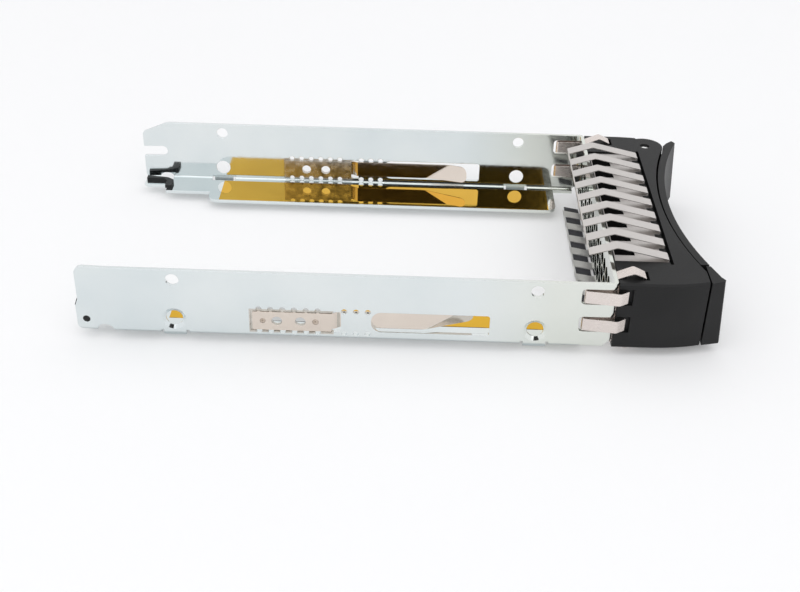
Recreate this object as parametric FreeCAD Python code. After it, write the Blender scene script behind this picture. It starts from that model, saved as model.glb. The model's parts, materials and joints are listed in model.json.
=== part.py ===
import FreeCAD, Part
import math
import os

# Hot swap drive caddy for a 2.5 inch drive, in millimetres.
# X runs from the connector end to the bezel, Y across the caddy, Z up.
# X = 0 and Y = 0 lie between the two rear drive screws, Z = 0 is the underside of the flanges.

Vec = FreeCAD.Vector

# Drive that the bay is made for, and the room round it
DRIVE_WIDTH = 69.85
SCREW_SPAN = 76.6
SCREW_ABOVE_DRIVE_BASE = 3.0
SIDE_PLAY = 0.375

# Folded steel chassis
SHEET = 0.8
FOLD_INNER_RADIUS = 0.3
RAIL_HEIGHT = 16.0
RAIL_REAR = -20.3
BULKHEAD_REAR = 92.2
TOE_START = -13.9
TOE_ANGLE = 3.0

# Flanges that carry the drive
FLANGE_WIDTH = 13.15
FLANGE_WIDTH_MID = 8.9
FLANGE_WIDTH_REAR = 5.9
FLANGE_STEP_X = -2.5
FLANGE_FRONT = 86.3
FLANGE_CORNER = 2.5
FOLD_FRONT = 91.4
BULKHEAD_BASE = 2.0
FRONT_STEP_HEIGHT = 0.9

# Screw holes, and the straight tabs under the lower ones
SCREW_HOLE = 3.6
COUNTERSINK = 5.2
COUNTERSINK_DEPTH = 0.55
UPPER_HOLE = 2.85
UPPER_HOLE_RISE = 9.7
UPPER_HOLE_SPAN = 76.25
TAB_WIDTH = 4.8
TAB_SLOT = 0.6
TAB_RELIEF_DEPTH = 2.3

# Rear ends of the rails
REAR_CORNER_RADIUS = 1.8
RIGHT_CHAMFER_DROP = 2.6
RIGHT_SLOT_WIDTH = 2.8
RIGHT_SLOT_HEIGHT = 8.1
LEFT_STEP = 0.6
LEFT_STEP_HEIGHT = 6.2
LEFT_STEP_RISE = 1.6
FOLD_RELIEF_CENTRE = -14.9
FOLD_RELIEF_LENGTH = 3.8
FOLD_RELIEF_HEIGHT = 1.85
FOLD_RELIEF_DEPTH = 2.8

# Spring seat and windows in the rails
SEAT_START = 16.2
SEAT_END = 33.5
SLOT_END = 35.4
WINDOW_START = 41.8
WINDOW_END = 66.9
WINDOW_BASE = 2.15
WINDOW_TOP = 7.1
SEAT_BASE = 1.65
SEAT_TOP = 6.6
SLOT_BASE = 1.85
SLOT_TOP = 6.9
WINDOW_REAR_RADIUS = 2.2
WINDOW_FRONT_RADIUS = 0.6
PERFORATION = 1.3
PERFORATION_PITCH = 2.5
PERFORATION_SIDES = 10
PERFORATION_HEIGHTS = (1.56, 7.05)
SEAT_PERFORATIONS = 6
BRIDGE_PERFORATIONS = 3
SEAT_FIRST_PERFORATION = 18.0
BRIDGE_FIRST_PERFORATION = 36.1

# Leaf springs that press on the drive
LEAF = 0.25
LEAF_START = 16.6
LEAF_PLATE_BASE = 1.85
LEAF_PLATE_TOP = 6.4
LEAF_ARM_BASE = 2.65
LEAF_ARM_TOP = 6.65
LEAF_BEND = 52.0
LEAF_BEND_SLANT = 1.5
LEAF_ANGLE = 19.0
LEAF_TIP = 62.6
LEAF_TIP_RISE = 0.6
LEAF_CURL = 0.9
LEAF_HOLE = 2.3
LEAF_HOLE_SIDES = 16
LEAF_OVERLAP = 8.0
LEAF_FIRST_HOLE = 21.8
LEAF_HOLE_PITCH = 5.0

# Insulating films on the flanges
FILM = 0.08
FILM_FRONT = 84.45
FILM_EDGE_GAP = 0.35
RIGHT_FILM_REAR = 0.4
RIGHT_FILM_WALL_GAP = 2.6
LEFT_FILM_REAR = -2.2
LEFT_FILM_WALL_GAP = 5.0

# Plastic bumpers at the rear corners
BUMPER_HEIGHT = 0.8
BUMPER_REAR = -19.7
BUMPER_BAR_WALL_GAP = 2.2
BUMPER_BAR_WIDTH = 1.5
BUMPER_FOOT_LENGTH = 3.9
BUMPER_FOOT_WIDTH = 1.7
BUMPER_FOOT_FRONT = -12.6
BUMPER_STUD = 1.6
BUMPER_STUD_X = -18.8
BUMPER_STUD_HEIGHT = 3.0
BUMPER_WALL = 1.0
BUMPER_NIB_TOP = 8.4
BUMPER_NIB_REACH = 0.5

# Honeycomb vents
CELL_PITCH = 3.75
CELL_WEB = 0.55
BULKHEAD_CELLS_MARGIN = 7.1
CELL_ROWS = (-1, 0, 1)

# Spring gaskets of thin stainless sheet
GASKET = 0.2
COLLAR_END = 5.6
COLLAR_BAND = 2.5
COLLAR_DROP = 1.0
FINGER_WIDTH = 3.0
FINGER_COUNT = 9
STRIP_END_INSET = 10.24
STRIP_RIM = 87.9
STRIP_RIM_RISE = 0.8
STRIP_LIP = 0.4
STRIP_RIM_FLAT = 0.2
STRIP_PEAK = 93.7
TOP_STRIP_RISE = 2.7
BOTTOM_STRIP_RISE = 1.8
BOTTOM_STRIP_SHIFT = 0.6
STRIP_TUCK = 105.0
STRIP_TUCK_RADIUS = 0.3
STRIP_BASE_FRONT = 103.4
STRIP_END_MARGIN = 0.4
STRIP_REAR_GAP = 0.25
STRIP_WINDOW_START = 93.65
STRIP_WINDOW_END = 98.0
STRIP_WINDOW_BAR = 1.9
CORNER_FINGER_INSET = 3.8
CORNER_FINGER_PEAK = 96.4
CORNER_FINGER_RISE = 1.35
CORNER_FINGER_DROP = 0.1
CORNER_FINGER_END = 98.85
CORNER_FINGER_TAIL = 0.9
SIDE_FINGER_WIDTH = 2.9
SIDE_FINGER_HEIGHTS = (5.95, 12.75)
SIDE_FINGER_REAR = 86.9
SIDE_FINGER_BULGE_X = 93.5
SIDE_FINGER_BULGE = 0.95
SIDE_FINGER_TIP = 95.3
SIDE_FINGER_TIP_DROP = 1.25
RAIL_NOTCH_REAR = 85.6
RAIL_NOTCH_HEIGHT = 3.7
RAIL_NOTCH_DEPTH = 1.8

# Moulded bezel
BEZEL_INSET = 0.2
BEZEL_FLAT_END = 101.0
BEZEL_SIDE_RADIUS = 40.0
BEZEL_EDGE = 0.4
GROOVE_GAP = 0.46
GROOVE_MIDDLE = 107.4
GROOVE_BOW = 7.3
GROOVE_STRAIGHT = 112.4
STRIP_RECESS = 0.55
RECESS_MARGIN = 0.15
TUCK_GROOVE = 0.75
TUCK_GROOVE_DEPTH = 1.6
DUCT_INSET = 11.4
DUCT_WALL = 2.3
SIDE_POCKET_LENGTH = 3.1
SIDE_POCKET_DEPTH = 0.95
POCKET_MARGIN = 0.5
CORNER_POCKET_LENGTH = 1.3
CORNER_POCKET_DEPTH = 1.6
CORNER_ROOT_LENGTH = 0.8
CORNER_ROOT_DEPTH = 0.4
NOTCH_WIDTH = 0.5

# Ejector lever and its pivot
PIVOT_X = 107.9
PIVOT_INSET = 5.3
KNUCKLE_RADIUS = 4.4
PIVOT_PIN = 2.0
PIVOT_RECESS = 0.4
PIVOT_RECESS_MARGIN = 0.2
RUNNING_GAP = 0.05
HUB_RADIUS = 3.9
HUB_ROOM = 0.6
HUB_WALL = 2.1
HUB_END_PLAY = 0.3
HUB_EAR = 3.2
HUB_INNER_RADIUS = 2.95
WEB_FROM = -33.0
WEB_TO = 8.0
WEB_REACH = 5.6
LEVER_CELLS_MARGIN = 17.1
LEVER_FRONT = 109.15
LEVER_FRONT_BOW = 7.95
LEVER_LEAN = 1.0
LEVER_END_PLAY = 0.25
SEAM_INSET = 9.1
SEAM_GAP = 0.5
TIP_NOSE_X = 115.3
TIP_NOSE_INSET = 1.3
TIP_HEEL_X = 113.75
TIP_HEEL_INSET = 2.8
TIP_FRONT_INSET = 2.4

# Torsion spring of the lever
COIL_RADIUS = 1.9
COIL_WIRE = 0.5
COIL_PITCH = 0.75
COIL_TURNS = 2.72
COIL_ANCHOR_LEG = 4.9
COIL_FREE_LEG = 3.2

# Release latch and its pivot
LATCH_PIVOT_X = 104.0
LATCH_PIVOT_INSET = 4.1
LATCH_PIN = 1.6
LATCH_PIN_BASE = 0.6
LATCH_HUB_RADIUS = 1.85
LATCH_ARM_WIDTH = 2.0
LATCH_ARM_MARGIN = 0.3
LATCH_CAVITY_INSET = 2.0
LATCH_CAVITY_WIDTH = 4.6
LATCH_CAVITY_REAR = 101.2
LATCH_CAVITY_WALL = 2.7
LATCH_CHIN_X = 115.1
LATCH_CHIN_INSET = 4.4
LATCH_NOSE_X = 115.75
LATCH_NOSE_INSET = 3.4
LATCH_FRONT_OVERHANG = 0.6

# Leaf spring of the latch
LATCH_LEAF = 0.2
LATCH_LEAF_WIDTH = 4.0
LATCH_LEAF_FOLD = 105.4
LATCH_LEAF_END = 110.6

# Snap lugs of the bezel, through collar and bulkhead
LUG = 2.0
LUG_HEAD = 0.9
LUG_CATCH = 0.5
LUG_INSET = 3.3
LUG_HEIGHTS = (4.4, 11.6)

# Derived sizes
WALL_OUTER = DRIVE_WIDTH / 2 + SIDE_PLAY + SHEET
WALL_INNER = WALL_OUTER - SHEET
WALL_MIDDLE = WALL_OUTER - SHEET / 2
FOLD_RADIUS = FOLD_INNER_RADIUS + SHEET / 2
FOLD_OUTER_RADIUS = FOLD_INNER_RADIUS + SHEET
BULKHEAD_MIDDLE = BULKHEAD_REAR + SHEET / 2
BULKHEAD_FRONT = BULKHEAD_REAR + SHEET
BEZEL_REAR = BULKHEAD_FRONT + GASKET
BEZEL_SIDE = WALL_OUTER - BEZEL_INSET
FLANGE_INNER = WALL_OUTER - FLANGE_WIDTH
RAIL_CUT_INNER = WALL_OUTER - TAB_RELIEF_DEPTH
NOTCH_INNER = WALL_OUTER - RAIL_NOTCH_DEPTH
BAR_OUTER = WALL_OUTER - BUMPER_BAR_WALL_GAP
CORNER_FINGER_Y = WALL_OUTER - CORNER_FINGER_INSET
LUG_Y = BEZEL_SIDE - LUG_INSET
PIVOT = (PIVOT_X, BEZEL_SIDE - PIVOT_INSET)
LATCH_PIVOT = (LATCH_PIVOT_X, -BEZEL_SIDE + LATCH_PIVOT_INSET)
LATCH_ARM_INNER = LATCH_PIVOT[1] + LATCH_ARM_WIDTH / 2
LATCH_ARM_OUTER = LATCH_PIVOT[1] - LATCH_ARM_WIDTH / 2
CAVITY_OUTER = -BEZEL_SIDE + LATCH_CAVITY_INSET
CAVITY_INNER = CAVITY_OUTER + LATCH_CAVITY_WIDTH
SEAM_Y = -BEZEL_SIDE + SEAM_INSET
MID_HEIGHT = RAIL_HEIGHT / 2
SCREW_HEIGHT = SHEET + FILM + SCREW_ABOVE_DRIVE_BASE
CELL_ROW_PITCH = CELL_PITCH * math.sqrt(3) / 2
STRIP_HALF_LENGTH = WALL_OUTER - STRIP_END_INSET
FINGER_PITCH = (2 * STRIP_HALF_LENGTH - FINGER_WIDTH) / (FINGER_COUNT - 1)
DUCT_HALF_WIDTH = BEZEL_SIDE - DUCT_INSET
GROOVE_RADIUS = (BEZEL_SIDE ** 2 + GROOVE_BOW ** 2) / (2 * GROOVE_BOW)
LEVER_FRONT_RADIUS = (BEZEL_SIDE ** 2 + LEVER_FRONT_BOW ** 2) / (2 * LEVER_FRONT_BOW)
THROUGH = 200.0


def on_xy(height):
    """Placing rule for outlines drawn in plan."""
    return lambda a, b: Vec(a, b, height)


def on_xz(across):
    """Placing rule for outlines drawn in side view."""
    return lambda a, b: Vec(a, across, b)


def on_yz(along):
    """Placing rule for outlines drawn in front view."""
    return lambda a, b: Vec(along, a, b)


def toward(start, end):
    """Unit direction from one plane point to another."""
    length = math.hypot(end[0] - start[0], end[1] - start[1])
    return ((end[0] - start[0]) / length, (end[1] - start[1]) / length)


def polar(centre, radius, degrees):
    """Plane point at an angle round a centre."""
    turn = math.radians(degrees)
    return (centre[0] + radius * math.cos(turn), centre[1] + radius * math.sin(turn))


def straight(start, end, place):
    """Straight edge between two plane points, or nothing where they meet."""
    if math.hypot(end[0] - start[0], end[1] - start[1]) < 1e-6:
        return []
    return [Part.makeLine(place(*start), place(*end))]


def arc(start, middle, end, place):
    """Arc edge through three plane points."""
    return Part.Arc(place(*start), place(*middle), place(*end)).toShape()


def face_of(edges):
    """Flat face inside a closed run of edges."""
    return Part.Face(Part.Wire(edges))


def rounded_face(points, radii, place):
    """Flat face inside a polygon whose corners are rounded by the given radii."""
    corners = []
    count = len(points)
    for index, (corner, radius) in enumerate(zip(points, radii)):
        back = toward(corner, points[index - 1])
        ahead = toward(corner, points[(index + 1) % count])
        half = math.acos(max(-1.0, min(1.0, back[0] * ahead[0] + back[1] * ahead[1]))) / 2
        reach = radius / math.tan(half)
        start = (corner[0] + back[0] * reach, corner[1] + back[1] * reach)
        end = (corner[0] + ahead[0] * reach, corner[1] + ahead[1] * reach)
        inward = toward((0, 0), (back[0] + ahead[0], back[1] + ahead[1]))
        depth = radius / math.sin(half) - radius
        middle = (corner[0] + inward[0] * depth, corner[1] + inward[1] * depth)
        corners.append((start, middle, end, radius))
    edges = []
    for index, (start, middle, end, radius) in enumerate(corners):
        if radius > 0:
            edges.append(arc(start, middle, end, place))
        edges += straight(end, corners[(index + 1) % count][0], place)
    return face_of(edges)


def bent_sheet(path, bends, thickness, place):
    """Section of a sheet along a path, with a centre-line radius or 0 for a sharp bend at each inner point."""
    turns = []
    for index, radius in enumerate(bends, start=1):
        into = toward(path[index - 1], path[index])
        out = toward(path[index], path[index + 1])
        side = 1 if into[0] * out[1] - into[1] * out[0] > 0 else -1
        reach = radius * math.tan(math.acos(into[0] * out[0] + into[1] * out[1]) / 2)
        first, last = (-into[1], into[0]), (-out[1], out[0])
        middle = toward((0, 0), (first[0] + last[0], first[1] + last[1]))
        if radius == 0:
            stretch = 1 / (middle[0] * first[0] + middle[1] * first[1])
            first = middle = last = (middle[0] * stretch, middle[1] * stretch)
        start = (path[index][0] - into[0] * reach, path[index][1] - into[1] * reach)
        centre = (start[0] + side * radius * first[0], start[1] + side * radius * first[1])
        turns.append((centre, side * radius, (first, middle, last)))
    begin, finish = toward(path[0], path[1]), toward(path[-2], path[-1])

    def side_points(offset):
        points = [(path[0][0] - begin[1] * offset, path[0][1] + begin[0] * offset)]
        for centre, radius, normals in turns:
            reach = offset - radius
            points += [(centre[0] + n[0] * reach, centre[1] + n[1] * reach) for n in normals]
        points.append((path[-1][0] - finish[1] * offset, path[-1][1] + finish[0] * offset))
        return points

    def side_edges(points):
        edges = []
        for index in range(len(turns)):
            edges += straight(points[3 * index], points[3 * index + 1], place)
            if turns[index][1] != 0:
                edges.append(arc(*points[3 * index + 1:3 * index + 4], place))
        return edges + straight(points[-2], points[-1], place)

    left, right = side_points(thickness / 2), side_points(-thickness / 2)
    edges = side_edges(left) + straight(left[-1], right[-1], place)
    edges += side_edges(right) + straight(left[0], right[0], place)
    return Part.Face(Part.Wire(Part.__sortEdges__(edges)))


def block(x_range, y_range, z_range):
    """Box between two corners."""
    low = Vec(x_range[0], y_range[0], z_range[0])
    return Part.makeBox(x_range[1] - x_range[0], y_range[1] - y_range[0], z_range[1] - z_range[0], low)


def across(x, height, diameter, y_range):
    """Round bar along Y, used for holes in the rails."""
    return Part.makeCylinder(diameter / 2, y_range[1] - y_range[0], Vec(x, y_range[0], height), Vec(0, 1, 0))


def upright(centre, radius, z_range):
    """Round bar along Z."""
    return Part.makeCylinder(radius, z_range[1] - z_range[0], Vec(centre[0], centre[1], z_range[0]))


def mirrored(shape):
    """The same shape on the other side of the caddy."""
    return shape.mirror(Vec(0, 0, 0), Vec(0, 1, 0))


def upside_down(shape):
    """The same shape mirrored about the middle height of the caddy."""
    return shape.mirror(Vec(0, 0, MID_HEIGHT), Vec(0, 0, 1))


def joined(shapes):
    """One solid out of shapes that touch or overlap."""
    return shapes[0].fuse(shapes[1:]).removeSplitter()


def honeycomb(half_width, x_range):
    """Hexagonal prisms along X in staggered rows about the middle height."""
    radius = (CELL_PITCH - CELL_WEB) / math.sqrt(3)
    cells = []
    for row in CELL_ROWS:
        shift = CELL_PITCH / 2 if row % 2 else 0.0
        height = MID_HEIGHT + row * CELL_ROW_PITCH
        steps = int(half_width / CELL_PITCH) + 1
        for step in range(-steps, steps + 1):
            centre = (step * CELL_PITCH + shift, height)
            if abs(centre[0]) > half_width:
                continue
            points = [polar(centre, radius, 30 + 60 * corner) for corner in range(6)]
            cell = rounded_face(points, [0] * 6, on_yz(x_range[0]))
            cells.append(cell.extrude(Vec(x_range[1] - x_range[0], 0, 0)))
    return cells


def many_sided(x, height, diameter, sides, y_range):
    """Many-sided bar along Y, used for the small punched holes that repeat."""
    points = [polar((x, height), diameter / 2, 360 / sides * side) for side in range(sides)]
    bar = rounded_face(points, [0] * sides, on_xz(y_range[0]))
    return bar.extrude(Vec(0, y_range[1] - y_range[0], 0))


def leaf_holes(y_range):
    """Bars for the two holes through a leaf spring's plate and its seat."""
    height = (LEAF_PLATE_BASE + LEAF_PLATE_TOP) / 2
    places = (LEAF_FIRST_HOLE, LEAF_FIRST_HOLE + LEAF_HOLE_PITCH)
    return [many_sided(x, height, LEAF_HOLE, LEAF_HOLE_SIDES, y_range) for x in places]


def rail_outline(left):
    """Side view of a rail with its bulkhead end, as a slab that trims the folded sheet."""
    step = LEFT_STEP if left else 0.0
    points = [(RAIL_REAR - step, 0), (FOLD_FRONT, 0), (FOLD_FRONT + 0.2, FRONT_STEP_HEIGHT)]
    points += [(FOLD_FRONT + SHEET, BULKHEAD_BASE - 0.2), (BULKHEAD_FRONT + 1, BULKHEAD_BASE)]
    points += [(BULKHEAD_FRONT + 1, RAIL_HEIGHT)]
    radii = [REAR_CORNER_RADIUS, 0, 0, 0, 0, 0]
    if left:
        points += [(RAIL_REAR, RAIL_HEIGHT), (RAIL_REAR, LEFT_STEP_HEIGHT + LEFT_STEP_RISE)]
        points += [(RAIL_REAR - step, LEFT_STEP_HEIGHT)]
        radii += [REAR_CORNER_RADIUS, 0, 0]
    else:
        points += [(TOE_START, RAIL_HEIGHT), (RAIL_REAR, RAIL_HEIGHT - RIGHT_CHAMFER_DROP)]
        radii += [2 * REAR_CORNER_RADIUS, REAR_CORNER_RADIUS / 2]
    return rounded_face(points, radii, on_xz(-1)).extrude(Vec(0, WALL_OUTER + 2, 0))


def flange_plate():
    """Plan of the flange on the right, from its stepped inner edge to the fold."""
    outer = WALL_OUTER - FOLD_OUTER_RADIUS
    rear = RAIL_REAR - LEFT_STEP
    inner_rear, inner_mid = WALL_OUTER - FLANGE_WIDTH_REAR, WALL_OUTER - FLANGE_WIDTH_MID
    points = [(rear, outer - SHEET), (rear, inner_rear), (TOE_START, inner_rear)]
    points += [(TOE_START, inner_mid), (FLANGE_STEP_X, inner_mid)]
    points += [(FLANGE_STEP_X, FLANGE_INNER), (FLANGE_FRONT, FLANGE_INNER)]
    points += [(FLANGE_FRONT, outer), (TOE_START, outer)]
    radii = [0, 0, 0, 0, 0, FLANGE_CORNER, FLANGE_CORNER, 0, 0]
    return rounded_face(points, radii, on_xy(0)).extrude(Vec(0, 0, SHEET))


def rail_cutters():
    """Holes, windows and notches that both rails share, as solids on the right."""
    walls = (RAIL_CUT_INNER, WALL_OUTER + 1)
    cutters = []
    for x in (0, SCREW_SPAN):
        cutters.append(across(x, SCREW_HEIGHT, SCREW_HOLE, walls))
        sink = Part.makeCone(SCREW_HOLE / 2, COUNTERSINK / 2, COUNTERSINK_DEPTH,
                             Vec(x, WALL_OUTER - COUNTERSINK_DEPTH, SCREW_HEIGHT), Vec(0, 1, 0))
        cutters.append(sink)
    upper_start = (SCREW_SPAN - UPPER_HOLE_SPAN) / 2
    for x in (upper_start, upper_start + UPPER_HOLE_SPAN):
        cutters.append(across(x, SCREW_HEIGHT + UPPER_HOLE_RISE, UPPER_HOLE, walls))
    for first, count in ((SEAT_FIRST_PERFORATION, SEAT_PERFORATIONS),
                         (BRIDGE_FIRST_PERFORATION, BRIDGE_PERFORATIONS)):
        for step in range(count):
            for height in PERFORATION_HEIGHTS:
                x = first + step * PERFORATION_PITCH
                cutters.append(many_sided(x, height, PERFORATION, PERFORATION_SIDES, walls))
    cutters += leaf_holes(walls)
    openings = [
        ((SEAT_END, SLOT_END), (SLOT_BASE, SLOT_TOP), (0, 0, 0, 0)),
        ((WINDOW_START, WINDOW_END), (WINDOW_BASE, WINDOW_TOP),
         (WINDOW_REAR_RADIUS, WINDOW_FRONT_RADIUS, WINDOW_FRONT_RADIUS, WINDOW_REAR_RADIUS)),
    ]
    for height in SIDE_FINGER_HEIGHTS:
        span = (height - RAIL_NOTCH_HEIGHT / 2, height + RAIL_NOTCH_HEIGHT / 2)
        openings.append(((RAIL_NOTCH_REAR, BEZEL_REAR), span, (0.8, 0, 0, 0.8)))
    for (start, end), (low, high), radii in openings:
        points = [(start, low), (end, low), (end, high), (start, high)]
        inner = NOTCH_INNER if end == BEZEL_REAR else walls[0]
        face = rounded_face(points, radii, on_xz(inner))
        cutters.append(face.extrude(Vec(0, walls[1] - inner, 0)))
    return cutters


def fold_relief():
    """Rounded gap where the fold of the flange meets the bend of the toe."""
    half = FOLD_RELIEF_LENGTH / 2
    rear, front = FOLD_RELIEF_CENTRE - half, FOLD_RELIEF_CENTRE + half
    points = [(rear, -1), (front, -1), (front, FOLD_RELIEF_HEIGHT), (rear, FOLD_RELIEF_HEIGHT)]
    face = rounded_face(points, (0, 0, half * 0.9, half * 0.9), on_xz(WALL_OUTER - FOLD_RELIEF_DEPTH))
    return face.extrude(Vec(0, WALL_OUTER, 0))


def half_chassis(left):
    """One rail with its flange and half of the bulkhead, on the right side."""
    stub = WALL_OUTER - FOLD_OUTER_RADIUS - SHEET
    plan = [(TOE_START, WALL_MIDDLE), (BULKHEAD_MIDDLE, WALL_MIDDLE), (BULKHEAD_MIDDLE, 0)]
    wall = bent_sheet(plan, [FOLD_RADIUS], SHEET, on_xy(FOLD_OUTER_RADIUS))
    wall = wall.extrude(Vec(0, 0, RAIL_HEIGHT - FOLD_OUTER_RADIUS))
    section = [(stub, SHEET / 2), (WALL_MIDDLE, SHEET / 2), (WALL_MIDDLE, FOLD_OUTER_RADIUS + SHEET)]
    fold = bent_sheet(section, [FOLD_RADIUS], SHEET, on_yz(TOE_START))
    fold = fold.extrude(Vec(FOLD_FRONT - TOE_START, 0, 0))
    section[2] = (WALL_MIDDLE, RAIL_HEIGHT)
    toe = bent_sheet(section, [FOLD_RADIUS], SHEET, on_yz(TOE_START))
    toe = toe.extrude(Vec(RAIL_REAR - LEFT_STEP - TOE_START, 0, 0))
    toe.rotate(Vec(TOE_START, WALL_OUTER, 0), Vec(0, 0, 1), TOE_ANGLE)
    pad = block((SEAT_START, SEAT_END), (WALL_INNER - LEAF, WALL_INNER + LEAF), (SEAT_BASE, SEAT_TOP))
    rail = joined([wall, fold, toe, flange_plate(), pad])
    walls = (RAIL_CUT_INNER, WALL_OUTER + 1)
    tabs = []
    for x in (0, SCREW_SPAN):
        half = TAB_WIDTH / 2 + TAB_SLOT
        rail = rail.cut(block((x - half, x + half), walls, (-1, FOLD_OUTER_RADIUS)))
        half = TAB_WIDTH / 2
        tabs.append(block((x - half, x + half), (WALL_INNER, WALL_OUTER), (0, FOLD_OUTER_RADIUS)))
    rail = joined([rail] + tabs)
    pocket = block((SEAT_START, SEAT_END), (WALL_OUTER - LEAF, WALL_OUTER + 1), (SEAT_BASE, SEAT_TOP))
    cutters = rail_cutters() + [pocket, fold_relief()]
    if left:
        cutters.append(across(BUMPER_STUD_X, BUMPER_STUD_HEIGHT, BUMPER_STUD, walls))
    else:
        low, high = RIGHT_SLOT_HEIGHT - RIGHT_SLOT_WIDTH / 2, RIGHT_SLOT_HEIGHT + RIGHT_SLOT_WIDTH / 2
        rear = RAIL_REAR - 2 * SHEET
        points = [(rear, low), (TOE_START - SHEET / 2, low), (TOE_START - SHEET / 2, high), (rear, high)]
        radius = RIGHT_SLOT_WIDTH * 0.49
        slot = rounded_face(points, (0, radius, radius, 0), on_xz(RAIL_CUT_INNER))
        cutters.append(slot.extrude(Vec(0, WALL_OUTER, 0)))
    return rail.common(rail_outline(left)).cut(cutters)


def chassis_frame():
    """Rails, flanges and perforated bulkhead, folded from one sheet."""
    frame = joined([half_chassis(False), mirrored(half_chassis(True))])
    cells = honeycomb(WALL_OUTER - BULKHEAD_CELLS_MARGIN, (BULKHEAD_REAR - 1, BULKHEAD_FRONT + 1))
    return frame.cut(cells + lug_posts(BULKHEAD_REAR - 1))


def leaf_spring():
    """Leaf spring of the right rail, from its plate outside to its free tip inside."""
    outer, inner = WALL_OUTER - LEAF / 2, WALL_INNER - LEAF / 2
    height = LEAF_ARM_TOP - LEAF_PLATE_BASE
    seat_path = [(LEAF_START, outer), (SEAT_END + 0.4, outer), (SLOT_END - 0.3, inner)]
    seat_path.append((LEAF_BEND - LEAF_OVERLAP * 0.75, inner))
    seat = bent_sheet(seat_path, (0.3, 0.3), LEAF, on_xy(LEAF_PLATE_BASE)).extrude(Vec(0, 0, height))
    drop = (LEAF_TIP - LEAF_BEND) * math.tan(math.radians(LEAF_ANGLE))
    arm_path = [(SEAT_END, inner), (LEAF_BEND, inner), (LEAF_TIP, inner - drop)]
    arm_path.append((LEAF_TIP + LEAF_CURL, inner - drop + LEAF_CURL / 4))
    arm = bent_sheet(arm_path, (2.0, 0.8), LEAF, on_xy(LEAF_PLATE_BASE))
    arm = arm.extrude(Vec(LEAF_BEND_SLANT * height, 0, height))
    end = LEAF_TIP + LEAF_CURL
    points = [(LEAF_START, LEAF_PLATE_BASE), (SEAT_END - 0.2, LEAF_PLATE_BASE), (SEAT_END, LEAF_ARM_BASE)]
    points += [(LEAF_BEND, LEAF_ARM_BASE), (LEAF_BEND, LEAF_ARM_TOP), (SLOT_END, LEAF_ARM_TOP)]
    points += [(SEAT_END, LEAF_PLATE_TOP), (LEAF_START, LEAF_PLATE_TOP)]
    seat_outline = rounded_face(points, (0.4, 0, 0, 0, 0, 0, 0, 0.4), on_xz(0))
    rear = LEAF_BEND - LEAF_OVERLAP
    points = [(rear, LEAF_ARM_BASE), (LEAF_BEND, LEAF_ARM_BASE), (end, LEAF_ARM_BASE + LEAF_TIP_RISE)]
    points += [(end, LEAF_ARM_TOP), (rear, LEAF_ARM_TOP)]
    arm_outline = rounded_face(points, (0, 0, 1.4, 1.4, 0), on_xz(0))
    depth = Vec(0, WALL_OUTER + 1, 0)
    leaf = joined([seat.common(seat_outline.extrude(depth)), arm.common(arm_outline.extrude(depth))])
    return leaf.cut(leaf_holes((WALL_INNER, WALL_OUTER + 1)))


def insulating_film(rear, wall_gap):
    """Film on top of the right flange."""
    x_range, y_range = (rear, FILM_FRONT), (FLANGE_INNER + FILM_EDGE_GAP, WALL_OUTER - wall_gap)
    return block(x_range, y_range, (SHEET, SHEET + FILM))


def bumper_bar():
    """Flat bar with a foot, lying on the rear of the right flange."""
    foot_rear = BUMPER_FOOT_FRONT - BUMPER_FOOT_WIDTH
    inner = BAR_OUTER - BUMPER_BAR_WIDTH
    toe = inner - BUMPER_FOOT_LENGTH
    points = [(BUMPER_REAR, inner), (foot_rear - 0.8, inner), (foot_rear, inner - 1.2), (foot_rear, toe)]
    points += [(BUMPER_FOOT_FRONT, toe), (BUMPER_FOOT_FRONT, inner - 0.6)]
    points += [(foot_rear, BAR_OUTER - 0.9), (BUMPER_REAR, BAR_OUTER)]
    radii = (0, 0.8, 0.6, 0, 0, 0.8, 0.8, 0)
    return rounded_face(points, radii, on_xy(SHEET)).extrude(Vec(0, 0, BUMPER_HEIGHT))


def left_rear_bumper():
    """Bumper of the left rail, with an upright, a nib behind the rail and a stud through it."""
    rear = RAIL_REAR - BUMPER_NIB_REACH
    front, shoulder = BUMPER_STUD_X + BUMPER_STUD, BUMPER_STUD_HEIGHT + BUMPER_STUD
    points = [(BUMPER_REAR, SHEET), (BUMPER_REAR, shoulder)]
    points += [(rear - LEFT_STEP / 2, LEFT_STEP_HEIGHT), (RAIL_REAR, BUMPER_NIB_TOP)]
    points += [(RAIL_REAR + 1, BUMPER_NIB_TOP), (front, shoulder), (front, SHEET)]
    radii = (0, 0, 0, 0, 0.6, 0, 0)
    inner = WALL_INNER - BUMPER_WALL
    plate = rounded_face(points, radii, on_xz(inner)).extrude(Vec(0, BUMPER_WALL, 0))
    stud = across(BUMPER_STUD_X, BUMPER_STUD_HEIGHT, BUMPER_STUD, (inner, WALL_OUTER - SHEET / 2))
    tie = block((BUMPER_REAR, BUMPER_STUD_X + BUMPER_STUD), (BAR_OUTER - 0.6, WALL_INNER),
                (SHEET, SHEET + BUMPER_HEIGHT))
    return mirrored(joined([bumper_bar(), plate, stud, tie]).cut(half_chassis(True)))


def lug_posts(start):
    """Square posts of the four snap lugs, from a given X to the rear of the bezel."""
    half = LUG / 2
    posts = []
    for y in (-LUG_Y, LUG_Y):
        for height in LUG_HEIGHTS:
            posts.append(block((start, BEZEL_REAR), (y - half, y + half), (height - half, height + half)))
    return posts


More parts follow.
